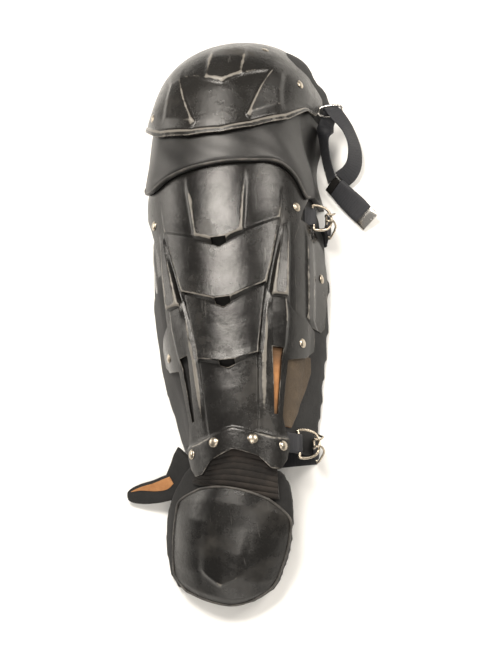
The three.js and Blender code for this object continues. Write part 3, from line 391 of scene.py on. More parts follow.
def maths(tree, operation, a, b=None, c=None, clamp=False):
    links = {k: v for k, v in enumerate((a, b, c)) if v is not None}
    return node(tree, "ShaderNodeMath", links, operation=operation, use_clamp=clamp).outputs[0]


def ramp(tree, value, low, high):
    """0 under low and 1 over high, smooth between."""
    links = {"Value": value, "From Min": low, "From Max": high}
    return node(tree, "ShaderNodeMapRange", links, interpolation_type="SMOOTHSTEP").outputs["Result"]


def noise(tree, vector, scale, detail=4.0, rough=0.55):
    links = {"Vector": vector, "Scale": scale, "Detail": detail, "Roughness": rough}
    return node(tree, "ShaderNodeTexNoise", links).outputs["Fac"]


def new_group(name, inputs, outputs):
    tree = bpy.data.node_groups.new(name, "ShaderNodeTree")
    for label, kind, value in inputs:
        socket = tree.interface.new_socket(label, in_out="INPUT", socket_type=kind)
        if value is not None:
            socket.default_value = value
    for label in outputs:
        tree.interface.new_socket(label, in_out="OUTPUT", socket_type="NodeSocketFloat")
    return tree, tree.nodes.new("NodeGroupInput").outputs, tree.nodes.new("NodeGroupOutput").inputs


FLOAT, VECTOR = "NodeSocketFloat", "NodeSocketVector"


def scuffs_group():
    inputs = [("Vector", VECTOR, None), ("Scale", FLOAT, 1.0), ("Amount", FLOAT, 0.5)]
    tree, given, out = new_group("scuffs", inputs, ["Smudge", "Scratch"])
    scaled = node(tree, "ShaderNodeVectorMath", {0: given["Vector"]}, operation="SCALE")
    tree.links.new(given["Scale"], scaled.inputs["Scale"])
    place = scaled.outputs[0]
    cloud = noise(tree, place, 16.0, 6.0, 0.65)
    least = maths(tree, "SUBTRACT", 0.78, maths(tree, "MULTIPLY", given["Amount"], 0.4))
    smudge = ramp(tree, cloud, least, maths(tree, "ADD", least, 0.22))
    lengthwise = {"Vector": place, "Rotation": (0.1, 0.1, 0.3), "Scale": (260.0, 16.0, 60.0)}
    thin = node(tree, "ShaderNodeMapping", lengthwise)
    streak = noise(tree, thin.outputs[0], 1.0, 3.0)
    patch = ramp(tree, noise(tree, place, 26.0, 2.0), 0.48, 0.62)
    tree.links.new(smudge, out["Smudge"])
    tree.links.new(maths(tree, "MULTIPLY", ramp(tree, streak, 0.62, 0.7), patch), out["Scratch"])
    return tree


def edge_wear_group():
    inputs = [("Edge", FLOAT, 0.0), ("Vector", VECTOR, None), ("Amount", FLOAT, 0.5)]
    tree, given, out = new_group("edge_wear", inputs, ["Mask"])
    broken = noise(tree, given["Vector"], 60.0, 5.0, 0.7)
    uneven = maths(tree, "MULTIPLY", maths(tree, "SUBTRACT", broken, 0.5), 1.5)
    shown = maths(tree, "ADD", given["Edge"], uneven)
    least = maths(tree, "SUBTRACT", 0.9, maths(tree, "MULTIPLY", given["Amount"], 0.6))
    tree.links.new(ramp(tree, shown, least, maths(tree, "ADD", least, 0.35)), out["Mask"])
    return tree


def weave_group():
    inputs = [("Vector", VECTOR, None), ("Threads", FLOAT, 700.0)]
    tree, given, out = new_group("webbing_weave", inputs, ["Height", "Shade"])
    split = node(tree, "ShaderNodeSeparateXYZ", {0: given["Vector"]}).outputs
    across = maths(tree, "MULTIPLY", split[0], given["Threads"])
    along = maths(tree, "MULTIPLY", split[1], given["Threads"])
    turned = maths(tree, "SINE", maths(tree, "MULTIPLY", maths(tree, "ADD", across, along), math.pi))
    other = maths(tree, "SINE", maths(tree, "MULTIPLY", maths(tree, "SUBTRACT", across, along), math.pi))
    ribs = maths(tree, "ABSOLUTE", maths(tree, "SINE", maths(tree, "MULTIPLY", along, math.pi / 2)))
    height = maths(tree, "ADD", maths(tree, "ABSOLUTE", maths(tree, "MULTIPLY", turned, other)), ribs)
    tree.links.new(maths(tree, "MULTIPLY", height, 0.5), out["Height"])
    tree.links.new(noise(tree, given["Vector"], 300.0), out["Shade"])
    return tree


def cloth_grain_group():
    inputs = [("Vector", VECTOR, None), ("Scale", FLOAT, 1.0)]
    tree, given, out = new_group("cloth_grain", inputs, ["Height", "Pile"])
    scaled = node(tree, "ShaderNodeVectorMath", {0: given["Vector"]}, operation="SCALE")
    tree.links.new(given["Scale"], scaled.inputs["Scale"])
    threads = node(tree, "ShaderNodeTexVoronoi", {"Vector": scaled.outputs[0], "Scale": 900.0})
    cells = threads.outputs["Distance"]
    pile = noise(tree, scaled.outputs[0], 60.0, 5.0, 0.7)
    tree.links.new(maths(tree, "ADD", cells, maths(tree, "MULTIPLY", pile, 0.6)), out["Height"])
    tree.links.new(pile, out["Pile"])
    return tree


def dust_group():
    tree, given, out = new_group("dust", [("Vector", VECTOR, None), ("Amount", FLOAT, 0.3)], ["Mask"])
    normal = node(tree, "ShaderNodeNewGeometry").outputs["Normal"]
    up = ramp(tree, node(tree, "ShaderNodeSeparateXYZ", {0: normal}).outputs[2], 0.2, 1.0)
    specks = ramp(tree, noise(tree, given["Vector"], 700.0, 2.0), 0.52, 0.75)
    cloud = ramp(tree, noise(tree, given["Vector"], 9.0, 4.0), 0.35, 0.75)
    both = maths(tree, "ADD", maths(tree, "MULTIPLY", specks, 0.5), maths(tree, "MULTIPLY", cloud, 0.6))
    lying = maths(tree, "MULTIPLY", both, up)
    tree.links.new(maths(tree, "MULTIPLY", lying, given["Amount"], clamp=True), out["Mask"])
    return tree


GROUPS = {tree.name: tree for tree in (
    scuffs_group(), edge_wear_group(), weave_group(), cloth_grain_group(), dust_group())}
print("groups", list(GROUPS))

# %% [markdown]
# Materials: worn black plastic, knitted and smooth cloth, ribbed instep cloth, tan foam,
# webbing, and worn nickel. Colours are the ones under the photograph's bright highlights.

# %% Materials
def use_group(tree, name, **values):
    """A shared effect in a material, with its named inputs linked or set."""
    made = tree.nodes.new("ShaderNodeGroup")
    made.node_tree = GROUPS[name]
    for key, value in values.items():
        if isinstance(value, bpy.types.NodeSocket):
            tree.links.new(value, made.inputs[key])
        else:
            made.inputs[key].default_value = value
    return made.outputs


def mixed(tree, share, a, b):
    """Colour b over colour a by a share."""
    made = node(tree, "ShaderNodeMix", data_type="RGBA")
    for key, value in ((0, share), (6, a), (7, b)):
        if isinstance(value, bpy.types.NodeSocket):
            tree.links.new(value, made.inputs[key])
        else:
            made.inputs[key].default_value = (*value, 1.0) if isinstance(value, tuple) else value
    return made.outputs[2]


def new_material(name, **fixed):
    """(material, its tree, its shader, the place on the piece); fixed sets the shader's sockets."""
    material = bpy.data.materials.new(name)
    material.use_nodes = True
    tree = material.node_tree
    shader = tree.nodes["Principled BSDF"]
    for key, value in fixed.items():
        shader.inputs[key.replace("_", " ")].default_value = value
    place = node(tree, "ShaderNodeTexCoord").outputs["Object"]
    return material, tree, shader, place


def bump(tree, shader, height, distance, strength=0.5):
    links = {"Height": height, "Distance": distance, "Strength": strength}
    tree.links.new(node(tree, "ShaderNodeBump", links).outputs["Normal"], shader.inputs["Normal"])


SCRATCH_PALE, EDGE_PALE, DUST_PALE = (0.26, 0.25, 0.235), (0.26, 0.24, 0.21), (0.36, 0.335, 0.3)


def plastic(name, base, worn, amount, wear, rough):
    """Moulded plastic: smudges of a worn colour, fine scratches, pale edges and a little dust."""
    material, tree, shader, place = new_material(name, Specular_IOR_Level=0.4)
    edge = node(tree, "ShaderNodeAttribute", attribute_name="edge").outputs["Fac"]
    scuffs = use_group(tree, "scuffs", Vector=place, Amount=amount)
    rub = use_group(tree, "edge_wear", Edge=edge, Vector=place, Amount=wear)["Mask"]
    dust = use_group(tree, "dust", Vector=place, Amount=0.28)["Mask"]
    colour = mixed(tree, maths(tree, "MULTIPLY", scuffs["Smudge"], 0.3), base, worn)
    colour = mixed(tree, maths(tree, "MULTIPLY", scuffs["Scratch"], 0.12), colour, SCRATCH_PALE)
    colour = mixed(tree, maths(tree, "MULTIPLY", rub, 0.55), colour, EDGE_PALE)
    colour = mixed(tree, maths(tree, "MULTIPLY", dust, 0.12), colour, DUST_PALE)
    tree.links.new(colour, shader.inputs["Base Color"])
    rubbed = maths(tree, "MULTIPLY", rub, 0.1)
    duller = maths(tree, "ADD", maths(tree, "MULTIPLY", scuffs["Smudge"], 0.2), rubbed)
    haze = noise(tree, place, 32.0, 6.0, 0.62)
    cloud = maths(tree, "MULTIPLY", maths(tree, "SUBTRACT", haze, 0.5), 0.4)
    uneven = maths(tree, "ADD", maths(tree, "ADD", duller, rough), cloud)
    tree.links.new(uneven, shader.inputs["Roughness"])
    grain = noise(tree, place, 1500.0, 2.0)
    wave = maths(tree, "ADD", maths(tree, "MULTIPLY", noise(tree, place, 70.0, 3.0), 3.0), grain)
    bump(tree, shader, wave, 0.0003, 0.5)
    return material


def cloth(name, base, light, scale=1.0, sheen=0.25, depth=0.0003, rough=0.9, painted_shade=None):
    """Cloth between two colours; the last argument gives two darker colours of painted shade for where the
    mesh's edge value is 1.
    """
    fixed = {"Roughness": rough, "Sheen_Weight": sheen, "Sheen_Roughness": 0.45}
    material, tree, shader, place = new_material(name, **fixed)
    grain = use_group(tree, "cloth_grain", Vector=place, Scale=scale)
    dust = use_group(tree, "dust", Vector=place, Amount=0.22)["Mask"]
    colour = mixed(tree, ramp(tree, grain["Pile"], 0.35, 0.75), base, light)
    colour = mixed(tree, maths(tree, "MULTIPLY", dust, 0.1), colour, (0.3, 0.28, 0.26))
    # painted shade: the two darker colours are mixed in where the mesh's edge value is 1
    if painted_shade:
        edge = node(tree, "ShaderNodeAttribute", attribute_name="edge").outputs["Fac"]
        other = mixed(tree, ramp(tree, grain["Pile"], 0.4, 0.9), *painted_shade)
        colour = mixed(tree, edge, colour, other)
    tree.links.new(colour, shader.inputs["Base Color"])
    bump(tree, shader, grain["Height"], depth, 0.6)
    return material


def webbing(name, base, light):
    """Woven strap; its mesh has a map of metres across and along it."""
    fixed = {"Roughness": 0.62, "Sheen_Weight": 0.06, "Sheen_Roughness": 0.4}
    material, tree, shader, _ = new_material(name, **fixed)
    flat = node(tree, "ShaderNodeUVMap", uv_map="cloth").outputs["UV"]
    weave = use_group(tree, "webbing_weave", Vector=flat, Threads=650.0)
    shade = maths(tree, "MULTIPLY", weave["Shade"], 0.4)
    share = maths(tree, "ADD", maths(tree, "MULTIPLY", weave["Height"], 0.55), shade)
    tree.links.new(mixed(tree, share, base, light), shader.inputs["Base Color"])
    bump(tree, shader, weave["Height"], 0.0004, 0.7)
    return material


def metal(name, base, tarnish, rough):
    material, tree, shader, place = new_material(name, Metallic=1.0)
    scuffs = use_group(tree, "scuffs", Vector=place, Scale=5.0, Amount=0.8)
    colour = mixed(tree, maths(tree, "MULTIPLY", scuffs["Smudge"], 0.6), base, tarnish)
    tree.links.new(colour, shader.inputs["Base Color"])
    spread = maths(tree, "ADD", maths(tree, "MULTIPLY", scuffs["Smudge"], 0.18), rough)
    tree.links.new(spread, shader.inputs["Roughness"])
    bump(tree, shader, noise(tree, place, 1800.0, 2.0), 0.00008, 0.4)
    return material


BLACK = (0.006, 0.0056, 0.0052)
LOOK = {
    "shell": plastic("worn_plastic", BLACK, (0.05, 0.043, 0.034), amount=0.6, wear=0.5, rough=0.22),
    "toe": plastic("scuffed_plastic", BLACK, (0.055, 0.049, 0.041), amount=0.75, wear=0.45, rough=0.26),
    "cap": plastic("hazy_plastic", (0.0065, 0.006, 0.0054), (0.075, 0.062, 0.047), amount=0.5, wear=0.8,
                   rough=0.27),
    "pad": cloth("knitted_cloth", (0.0045, 0.0045, 0.0047), (0.011, 0.0105, 0.0105), sheen=0.05),
    "band": cloth("smooth_cloth", (0.0035, 0.0033, 0.0031), (0.009, 0.0085, 0.008), scale=1.6, sheen=0.0,
                  depth=0.00015, rough=0.42),
    "piping": cloth("piping_cloth", (0.02, 0.0185, 0.017), (0.08, 0.072, 0.063), scale=1.4, sheen=0.1,
                    depth=0.0002, rough=0.5),
    "instep": cloth("ribbed_cloth", (0.007, 0.0052, 0.0042), (0.021, 0.0155, 0.012), scale=0.9, sheen=0.08,
                    depth=0.0004),
    # the foam's last pair of colours is painted shade, for where it lies in shadow under the shell
    "foam": cloth("tan_foam", (0.3, 0.13, 0.045), (0.46, 0.22, 0.085), scale=0.6, sheen=0.05, depth=0.0005,
                  painted_shade=((0.05, 0.035, 0.021), (0.1, 0.07, 0.042))),
    "strap": webbing("webbing", (0.004, 0.0045, 0.0065), (0.016, 0.017, 0.022)),
    "metal": metal("worn_nickel", (0.42, 0.37, 0.3), (0.2, 0.165, 0.12), 0.27),
    "steel": metal("bright_steel", (0.62, 0.6, 0.57), (0.36, 0.34, 0.31), 0.2),
}
print("materials", len(LOOK))

# %% [markdown]
# The floor is plain and pale, and the light is soft under a pale sky. A lamp over the knee
# gives the broad highlights on the scales. Two low ones at the sides are where the tops of the
# fins mirror them to the camera, and two more light the toe.

# %% Floor and lights
FLOOR = 6.0  # half of its side, in metres
LAMP_COLOUR = (1.0, 0.94, 0.86)


def lamp(name, place, aim, size, power):
    """A rectangular lamp; place and aim are in mm, its size in metres and its power in watts."""
    light = bpy.data.lights.new(name, "AREA")
    light.shape, light.energy, light.color = "RECTANGLE", power, LAMP_COLOUR
    light.size, light.size_y = size
    made = bpy.data.objects.new(name, light)
    bpy.context.scene.collection.objects.link(made)
    made.matrix_world = look(np.array(place, float), np.array(aim, float))


floor_mesh = bpy.data.meshes.new("floor")
floor_corners = [(x * FLOOR, y * FLOOR, 0) for x, y in ((-1, -1), (1, -1), (1, 1), (-1, 1))]
floor_mesh.from_pydata(floor_corners, [], [(0, 1, 2, 3)])
floor = bpy.data.objects.new("floor", floor_mesh)
bpy.context.scene.collection.objects.link(floor)
floor_look, _, floor_shader, _ = new_material("pale_floor", Roughness=0.9)
floor_shader.inputs["Base Color"].default_value = (0.86, 0.86, 0.85, 1)
floor_mesh.materials.append(floor_look)

lamp("crest", (-120, 640, 1250), (10, 200, 60), (0.55, 0.42), 21)
lamp("left_low", (-1360, 600, 400), (-60, 182, 105), (0.8, 0.45), 7.5)
lamp("right_side", (1075, 546, 833), (60, 182, 105), (0.5, 0.4), 12)
lamp("low_front", (-60, -1300, 220), (-20, -100, 50), (1.0, 0.35), 4)
lamp("over_toe", (260, -700, 1500), (0, 120, 60), (1.2, 0.8), 14)
world = bpy.data.worlds.new("pale_sky")
world.use_nodes = True
sky = world.node_tree.nodes["Background"]
sky.inputs["Color"].default_value = (1.0, 0.975, 0.94, 1)
sky.inputs["Strength"].default_value = 0.24
bpy.context.scene.world = world
bpy.context.scene.view_settings.view_transform = "Standard"
print("stage set")

# %% [markdown]
# The shin shell: each row of the table crosses the shell from rim to rim, and the heights make
# the three stacked scales, the spine, the fins and the slots. Edges that stand out are worn.

# %% Shin shell
SHELL_WALL, WING_WALL, RISER_WALL = 3.0, 2.5, 2.0
RELIEF = 10.0  # the height of a table's 1
VENT_HALF_WIDTH = 8.0
WING_DROP, PAD_DROP = 1.0, 1.6  # how far under the shell and under the wing the next layer lies
BAND_GAP, BAND_THICKNESS = 1.0, 7.0
WING_FACE = -SHELL_WALL - WING_DROP
PAD_FACE = WING_FACE - WING_WALL - PAD_DROP
CAP_FACE = BAND_GAP * 2 + BAND_THICKNESS + SHELL_WALL

SHIN_COLUMNS = """t_mid t_border t_fin t_edge s_ridge s_border s_crease s_in s_out s_edge
    h_mid h_spine h_foot h_crease h_in h_out h_edge back"""
SHIN_ROWS = [
    [0.019, -0.003, -0.033, -0.006, 14, 23, 29, 36, 47, 54, 0.2, 0.2, 0.2, 0.2, 0.2, 0.2, 0.2, 0],
    [0.043, 0.023, 0.004, 0.02, 13, 23, 29, 36, 47, 55.5, 0.2, 0.2, 0.2, 0.2, 0.2, 0.2, 0.2, 0],
    [0.073, 0.056, 0.048, 0.048, 12, 22, 28, 36, 46, 55, 0.2, 0.2, 0.2, 0.2, 0.2, 0.2, 0.2, 1],
    [0.078, 0.061, 0.053, 0.053, 12, 22, 28, 36, 45, 53, 0.05, 0.05, 0, 0, 0, 0, 0, 1],
    [0.12, 0.11, 0.11, 0.105, 12, 22, 28, 38, 41.5, 46.5, 0.2, 0.2, 0, 0.1, 0, 0, 0, 0],
    [0.175, 0.18, 0.18, 0.175, 11.5, 22, 27, 36.5, 42, 47, 0.3, 0.3, 0, 0.35, 0, 0, 0, 0],
    [0.23, 0.262, 0.262, 0.25, 11, 21.8, 27, 34.5, 42.5, 48, 0.25, 0.25, 0, 0.4, 0, 0, 0, 1],
    [0.244, 0.266, 0.267, 0.258, 11, 21.9, 27, 34.2, 43, 48, 0.75, 0.75, 0, 0.4, 0, 0, 0, 1],
    [0.265, 0.287, 0.288, 0.279, 11, 22.2, 27.5, 33.6, 43.4, 69, 0.6, 0.6, 0, 0.4, 0.1, 0.1, 0, 0],
    [0.29, 0.31, 0.308, 0.305, 11, 23, 28, 33.5, 44, 76.5, 0.5, 0.5, 0, 0.4, 0.15, 0.15, 0, 0],
    [0.345, 0.375, 0.375, 0.36, 11, 25, 28.5, 33, 44, 75, 0.3, 0.3, 0, 0.3, 0.35, 0.35, 0, 0],
    [0.368, 0.413, 0.398, 0.377, 11, 26.3, 29.5, 32.5, 43, 66, 0.25, 0.25, 0, 0.25, 0.4, 0.4, 0, 0],
    [0.392, 0.452, 0.42, 0.39, 11, 27.6, 30.6, 32, 42, 53, 0.2, 0.2, 0, 0.2, 0.45, 0.45, 0, 1],
    [0.407, 0.456, 0.424, 0.394, 11, 27.8, 30.7, 32, 42, 52.8, 0.7, 0.7, 0, 0, 0.85, 1, 0, 1],
    [0.48, 0.52, 0.515, 0.5, 12, 32, 34.6, 36, 42.8, 51, 0.4, 0.4, 0, 0, 0.6, 0.8, 0, 0],
    [0.558, 0.64, 0.625, 0.59, 14, 38.5, 41, 42.5, 45, 50.5, 0.15, 0.15, 0, 0, 0.15, 0.15, 0, 1],
    [0.572, 0.644, 0.63, 0.595, 14, 38.7, 41.1, 42.6, 45.2, 51, 0.7, 0.35, 0, 0, 0.1, 0.1, 0, 1],
    [0.615, 0.67, 0.655, 0.64, 15, 40, 43, 44.5, 47, 55, 0.55, 0.2, 0, 0, 0, 0, 0, 0],
    [0.69, 0.7, 0.695, 0.69, 16.5, 41, 44, 46, 49, 60, 0.36, 0.08, 0, 0, 0, 0, 0, 0],
    [0.745, 0.742, 0.738, 0.73, 18, 41, 44, 47, 52, 66, 0.14, 0, 0, 0, 0, 0, 0, 0],
    [0.785, 0.785, 0.78, 0.77, 18, 41, 44, 47, 52, 64, 0, 0, 0, 0, 0, 0, 0, 0],
    [0.83, 0.828, 0.82, 0.8, 18, 41, 44, 47, 52, 60, 0, 0, 0, 0, 0, 0, 0, 0],
]
# the slot's first row and the row past its last, its column, and the vents' rows
SLOT_ROWS, SLOT_COLUMN, VENT_ROWS = [4, 8], 8, [6, 12, 15]
FOOT_STEP = 2  # degrees from a ridge or a fin to its foot
CREASE_STEP = 1.6  # degrees from the spine's border to its foot


def named(columns, row):
    return dict(zip(columns.split(), row))


def lerp(a, b, share):
    return a + (b - a) * share


def mirrored(half):
    """A row's columns on both sides, where its first value is the side angle."""
    return [[-side, *rest] for side, *rest in half[:0:-1]] + half


def shin_half(row, lip):
    """One side of a row, as side, height, along and back; lip keeps a vent's edge straight."""
    radius = LEG_RADIUS * smooth(LEG_SECTIONS, "radius", row["t_mid"])
    vent = math.degrees(math.asin(VENT_HALF_WIDTH / radius))
    ridge_foot, fin_foot = row["s_ridge"] + FOOT_STEP, row["s_out"] + FOOT_STEP
    turns = [0, row["s_border"], row["s_in"], row["s_out"], row["s_edge"]]
    alongs = [row["t_mid"], row["t_border"], row["t_fin"], row["t_fin"], row["t_edge"]]
    half = [
        [0, row["h_mid"]],
        [vent, row["h_mid"]],
        [row["s_ridge"], row["h_mid"]],
        [ridge_foot, row["h_spine"]],
        [(ridge_foot + row["s_border"]) / 2, row["h_spine"]],
        [row["s_border"], row["h_spine"]],
        [row["s_border"] + CREASE_STEP, row["h_foot"]],
        [row["s_crease"], row["h_crease"]],
        [row["s_in"], row["h_in"]],
        [row["s_out"], row["h_out"]],
        [fin_foot, lerp(row["h_out"], row["h_edge"], 0.9)],
        [lerp(fin_foot, row["s_edge"], 0.33), row["h_edge"]],
        [lerp(fin_foot, row["s_edge"], 0.67), row["h_edge"]],
        [row["s_edge"], row["h_edge"]],
    ]
    half = [[side, height, np.interp(side, turns, alongs), row["back"]] for side, height in half]
    if lip:
        half[0][2] = half[1][2]
    return half


def border_share(solid, reach=2):
    """1 on a grid's rim and round its holes, falling off over a few points."""
    ring = np.pad(solid, 1).astype(float)
    near = 1 - np.minimum.reduce([ring[:-1, :-1], ring[1:, :-1], ring[:-1, 1:], ring[1:, 1:]])
    for _ in range(reach):
        wide = np.pad(near, 1, mode="edge")
        beside = [wide[:-2, 1:-1], wide[2:, 1:-1], wide[1:-1, :-2], wide[1:-1, 2:]]
        near = np.maximum(near, 0.55 * np.maximum.reduce(beside))
    return near


def leg_shell(name, coarse, faces, material, step, passes, hole=None):
    """A moulding from a coarse grid; faces gives its outer and inner points, step its cells'
    width in mm, passes how much its ribs are rounded, and hole which coarse cells are open."""
    values, row_of, column_of = finer(np.array(coarse, float), lambda v: faces(v)[0], step)
    outer, inner = (rounded(points, passes) for points in faces(values))
    open_cell = np.zeros((len(row_of), len(column_of)), bool)
    if hole:
        open_cell |= hole(row_of[:, None], column_of[None])
    worn = np.maximum(ridge_share(outer), 0.8 * border_share(~open_cell))
    piece = make_wall(name, outer, inner, material, "moulded_plastic", open_cell, worn, bevel=0.6)
    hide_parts(name.removesuffix("_look"))
    print(name, len(piece.data.polygons))
    return piece


def shin_faces(v):
    side, height, t, back = (v[..., k] for k in range(4))
    along, height = t * LEG_LENGTH, height * RELIEF
    inner = leg_point(along + back * RISER_WALL, side, height - SHELL_WALL)
    return leg_point(along, side, height), inner


SHIN_GRID = [mirrored(shin_half(named(SHIN_COLUMNS, row), number - 1 in VENT_ROWS))
             for number, row in enumerate(SHIN_ROWS)]
MIDDLE = len(SHIN_GRID[0]) // 2


def shin_hole(i, j):
    column = np.where(j >= MIDDLE, j - MIDDLE, MIDDLE - 1 - j)
    slot = (column == SLOT_COLUMN) & (i >= SLOT_ROWS[0]) & (i < SLOT_ROWS[1])
    return slot | ((column == 0) & np.isin(i, VENT_ROWS))


leg_shell("shin_shell_look", SHIN_GRID, shin_faces, LOOK["shell"], 2.0, 1, shin_hole)

# %% [markdown]
# The knee cap and the two side wings come from their own tables in the same way.

# %% Knee cap and wings
CAP_COLUMNS = ("t_mid t_corner t_outer t_edge s_ridge s_corner s_outer s_edge "
               "h_mid h_panel h_flank h_cheek h_edge")
CAP_ROWS = [
    [0.87, 0.882, 0.925, 1.018, 10, 20, 45, 74, 0.2, 0.2, 0.2, 0.2, 0.15],
    [0.884, 0.896, 0.939, 1.03, 10, 18, 43, 74.5, 0.2, 0.2, 0.2, 0.2, 0.1],
    [0.888, 0.9, 0.943, 1.034, 10, 17.5, 42.5, 75, -0.05, -0.05, -0.05, -0.05, 0],
    [0.918, 0.92, 0.965, 1.05, 10, 15.5, 38, 76, 0, 0, 0.3, 0.1, 0],
    [1.02, 1.066, 1.07, 1.1, 11, 28, 37, 75, 0.05, 0.05, 0.35, 0.1, 0],
    [1.03, 1.076, 1.08, 1.11, 11, 28.5, 38, 74, 0.3, 0.2, 0.3, 0.1, 0],
    [1.11, 1.13, 1.14, 1.15, 11.5, 30, 44, 69, 0.3, 0.12, 0.12, 0.05, 0],
    [1.2, 1.2, 1.2, 1.2, 10, 26, 40, 60, 0, 0, 0, 0, 0],
    [1.3, 1.285, 1.27, 1.25, 8, 20, 32, 46, 0, 0, 0, 0, 0],
]
CAP_TURN = 6.0  # degrees that its middle lies off the crest, to the strap side
CAP_FULLER = 12.0  # degrees that the cap's strap side runs further round over the knee
CAP_LEAN = 0.00025  # how far its rim climbs to the strap side, as a share of the leg a degree


def cap_lean(t, side):
    return CAP_LEAN * side * np.clip((1.2 - t) / 0.3, 0, 1)


def cap_half(row):
    turns = [0, row["s_corner"], row["s_outer"], row["s_edge"]]
    alongs = [row["t_mid"], row["t_corner"], row["t_outer"], row["t_edge"]]
    cheek = row["s_outer"] + 4
    half = [
        [0, row["h_mid"]],
        [row["s_ridge"], row["h_mid"]],
        [row["s_ridge"] + 1.5, row["h_panel"]],
        [row["s_corner"], row["h_panel"]],
        [row["s_corner"] + 2, row["h_flank"]],
        [row["s_outer"], row["h_flank"]],
        [cheek, row["h_cheek"]],
        [(cheek + row["s_edge"]) / 2, row["h_cheek"]],
        [row["s_edge"], row["h_edge"]],
    ]
    return [[side, height, np.interp(side, turns, alongs)] for side, height in half]


def cap_faces(v):
    side, height, t = (v[..., k] for k in range(3))
    fuller = CAP_FULLER * np.clip((t - 1.08) / 0.1, 0, 1) * np.clip(side / 70, 0, 1) ** 3
    place = (t + cap_lean(t, side)) * LEG_LENGTH, side + fuller + CAP_TURN
    face = CAP_FACE + height * RELIEF
    return leg_point(*place, face), leg_point(*place, face - 0.05 * RELIEF - SHELL_WALL)


CAP_GRID = [mirrored(cap_half(named(CAP_COLUMNS, row))) for row in CAP_ROWS]
leg_shell("knee_cap_shell_look", CAP_GRID, cap_faces, LOOK["cap"], 1.7, 1)

WING_COLUMNS = "t_in t_out s_in s_line s_band s_out rise sink"
WING_ROWS = [
    [0.378, 0.374, 47, 76, 81, 86, 0.05, 0.1],
    [0.4, 0.39, 46, 69, 76, 89, 0.2, 0.04],
    [0.52, 0.52, 44, 66, 74, 91, 0.2, 0],
    [0.62, 0.62, 44, 66, 73, 88, 0.15, 0],
    [0.67, 0.66, 50, 64, 69, 78, 0, 0],
]


def wing_grid(hand):
    grid = []
    for row in (named(WING_COLUMNS, row) for row in WING_ROWS):
        sides = [
            [row["s_in"], 0],
            [row["s_line"] - 2, 0],
            [row["s_line"], row["rise"]],
            [row["s_band"], row["rise"]],
            [row["s_band"] + 2, 0],
            [row["s_out"], 0],
        ]
        across = [(side - row["s_in"]) / (row["s_out"] - row["s_in"]) for side, _ in sides]
        grid.append([[hand * side, rise - row["sink"], lerp(row["t_in"], row["t_out"], share)]
                     for (side, rise), share in zip(sides, across)])
    return grid


def wing_faces(v):
    side, height, t = (v[..., k] for k in range(3))
    height = WING_FACE + height * RELIEF
    return leg_point(t * LEG_LENGTH, side, height), leg_point(t * LEG_LENGTH, side, height - WING_WALL)


for name, hand in (("side_wing_left_look", -1), ("side_wing_right_look", 1)):
    leg_shell(name, wing_grid(hand), wing_faces, LOOK["shell"], 2.2, 1)

# %% [markdown]
# The toe cap is a dome over the toe flap, with a raised six-sided boss that ends in a V.

# %% Toe cap
TOE_DOME, TOE_BOSS, TOE_BOSS_REACH = 17.0, 2.5, 0.37
# the line down the middle and down each edge, how far out each edge is, and the heights
TOE_CAP_FIELDS = "w_mid w_left w_right u_left u_right dome boss vee across"
TOE_CAP_ROWS = [
    [-0.01, 0.12, 0.09, -0.84, 0.76, 0.1, 0, 0],
    [0.11, 0.22, 0.19, -1.06, 0.96, 0.5, 0, 0],
    [0.29, 0.35, 0.33, -1.12, 1, 0.88, 0.2, 0],
    [0.5, 0.54, 0.52, -1.12, 0.97, 1, 0.8, 0],
    [0.79, 0.72, 0.68, -1.08, 0.9, 0.85, 1, 0.09],
    [0.82, 0.75, 0.71, -1.07, 0.89, 0.8, 0, 0.08],
    [0.92, 0.87, 0.8, -1, 0.8, 0.42, 0, 0],
    [0.99, 0.94, 0.86, -0.88, 0.66, 0.06, 0, 0],
]
TOE_CAP_COLUMNS = [-1, -0.85, -0.68, -0.5, -0.395, -0.365, -0.2, 0,
                   0.2, 0.365, 0.395, 0.5, 0.68, 0.85, 1]


def toe_faces(v):
    row = {name: v[..., k] for k, name in enumerate(TOE_CAP_FIELDS.split())}
    left, edge = row["across"] < 0, np.abs(row["across"])
    tent = np.minimum(edge / TOE_BOSS_REACH, (1 - edge) / (1 - TOE_BOSS_REACH))
    w = lerp(row["w_mid"], np.where(left, row["w_left"], row["w_right"]), edge**2.2) - row["vee"] * tent
    u = np.where(left, -row["u_left"], row["u_right"]) * TOE_HALF_WIDTH * row["across"]
    on_boss = np.clip((TOE_BOSS_REACH + 0.05 - edge) / 0.13, 0, 1)
    lift = row["dome"] * TOE_DOME * (1 - edge**3) + row["boss"] * TOE_BOSS * on_boss
    return toe_point(u, w * TOE_LENGTH, lift), toe_point(u, w * TOE_LENGTH, lift - SHELL_WALL)


TOE_GRID = [[[*row, across] for across in TOE_CAP_COLUMNS] for row in TOE_CAP_ROWS]
leg_shell("toe_cap_look", TOE_GRID, toe_faces, LOOK["toe"], 1.3, 2)

# %% [markdown]
# The padding is puffed from the CAD solids. Each is meshed again in even cells, blown up a
# little as cloth with some slack, so that it gets soft folds, and kept within a few
# millimetres of the solid and above the floor. The band is too thin for that: it is a crowned
# wall of its own between its hem and the cap's rim.

# %% Padding
scene = bpy.context.scene
CLOTH_FRAMES = 20
CLOTH_PRESSURE = 4
FLOOR_CLEAR = 0.2  # mm that cloth stays over the floor


def as_piece(name, mesh):
    piece = bpy.data.objects.new(name, mesh)
    scene.collection.objects.link(piece)
    return piece


def baked(piece):
    """The piece's mesh with its modifiers applied."""
    graph = bpy.context.evaluated_depsgraph_get()
    mesh = bpy.data.meshes.new_from_object(piece.evaluated_get(graph))
    piece.modifiers.clear()
    piece.data = mesh
    return mesh


def corners_of(mesh):
    flat = np.zeros(len(mesh.vertices) * 3)
    mesh.vertices.foreach_get("co", flat)
    return flat.reshape(-1, 3)


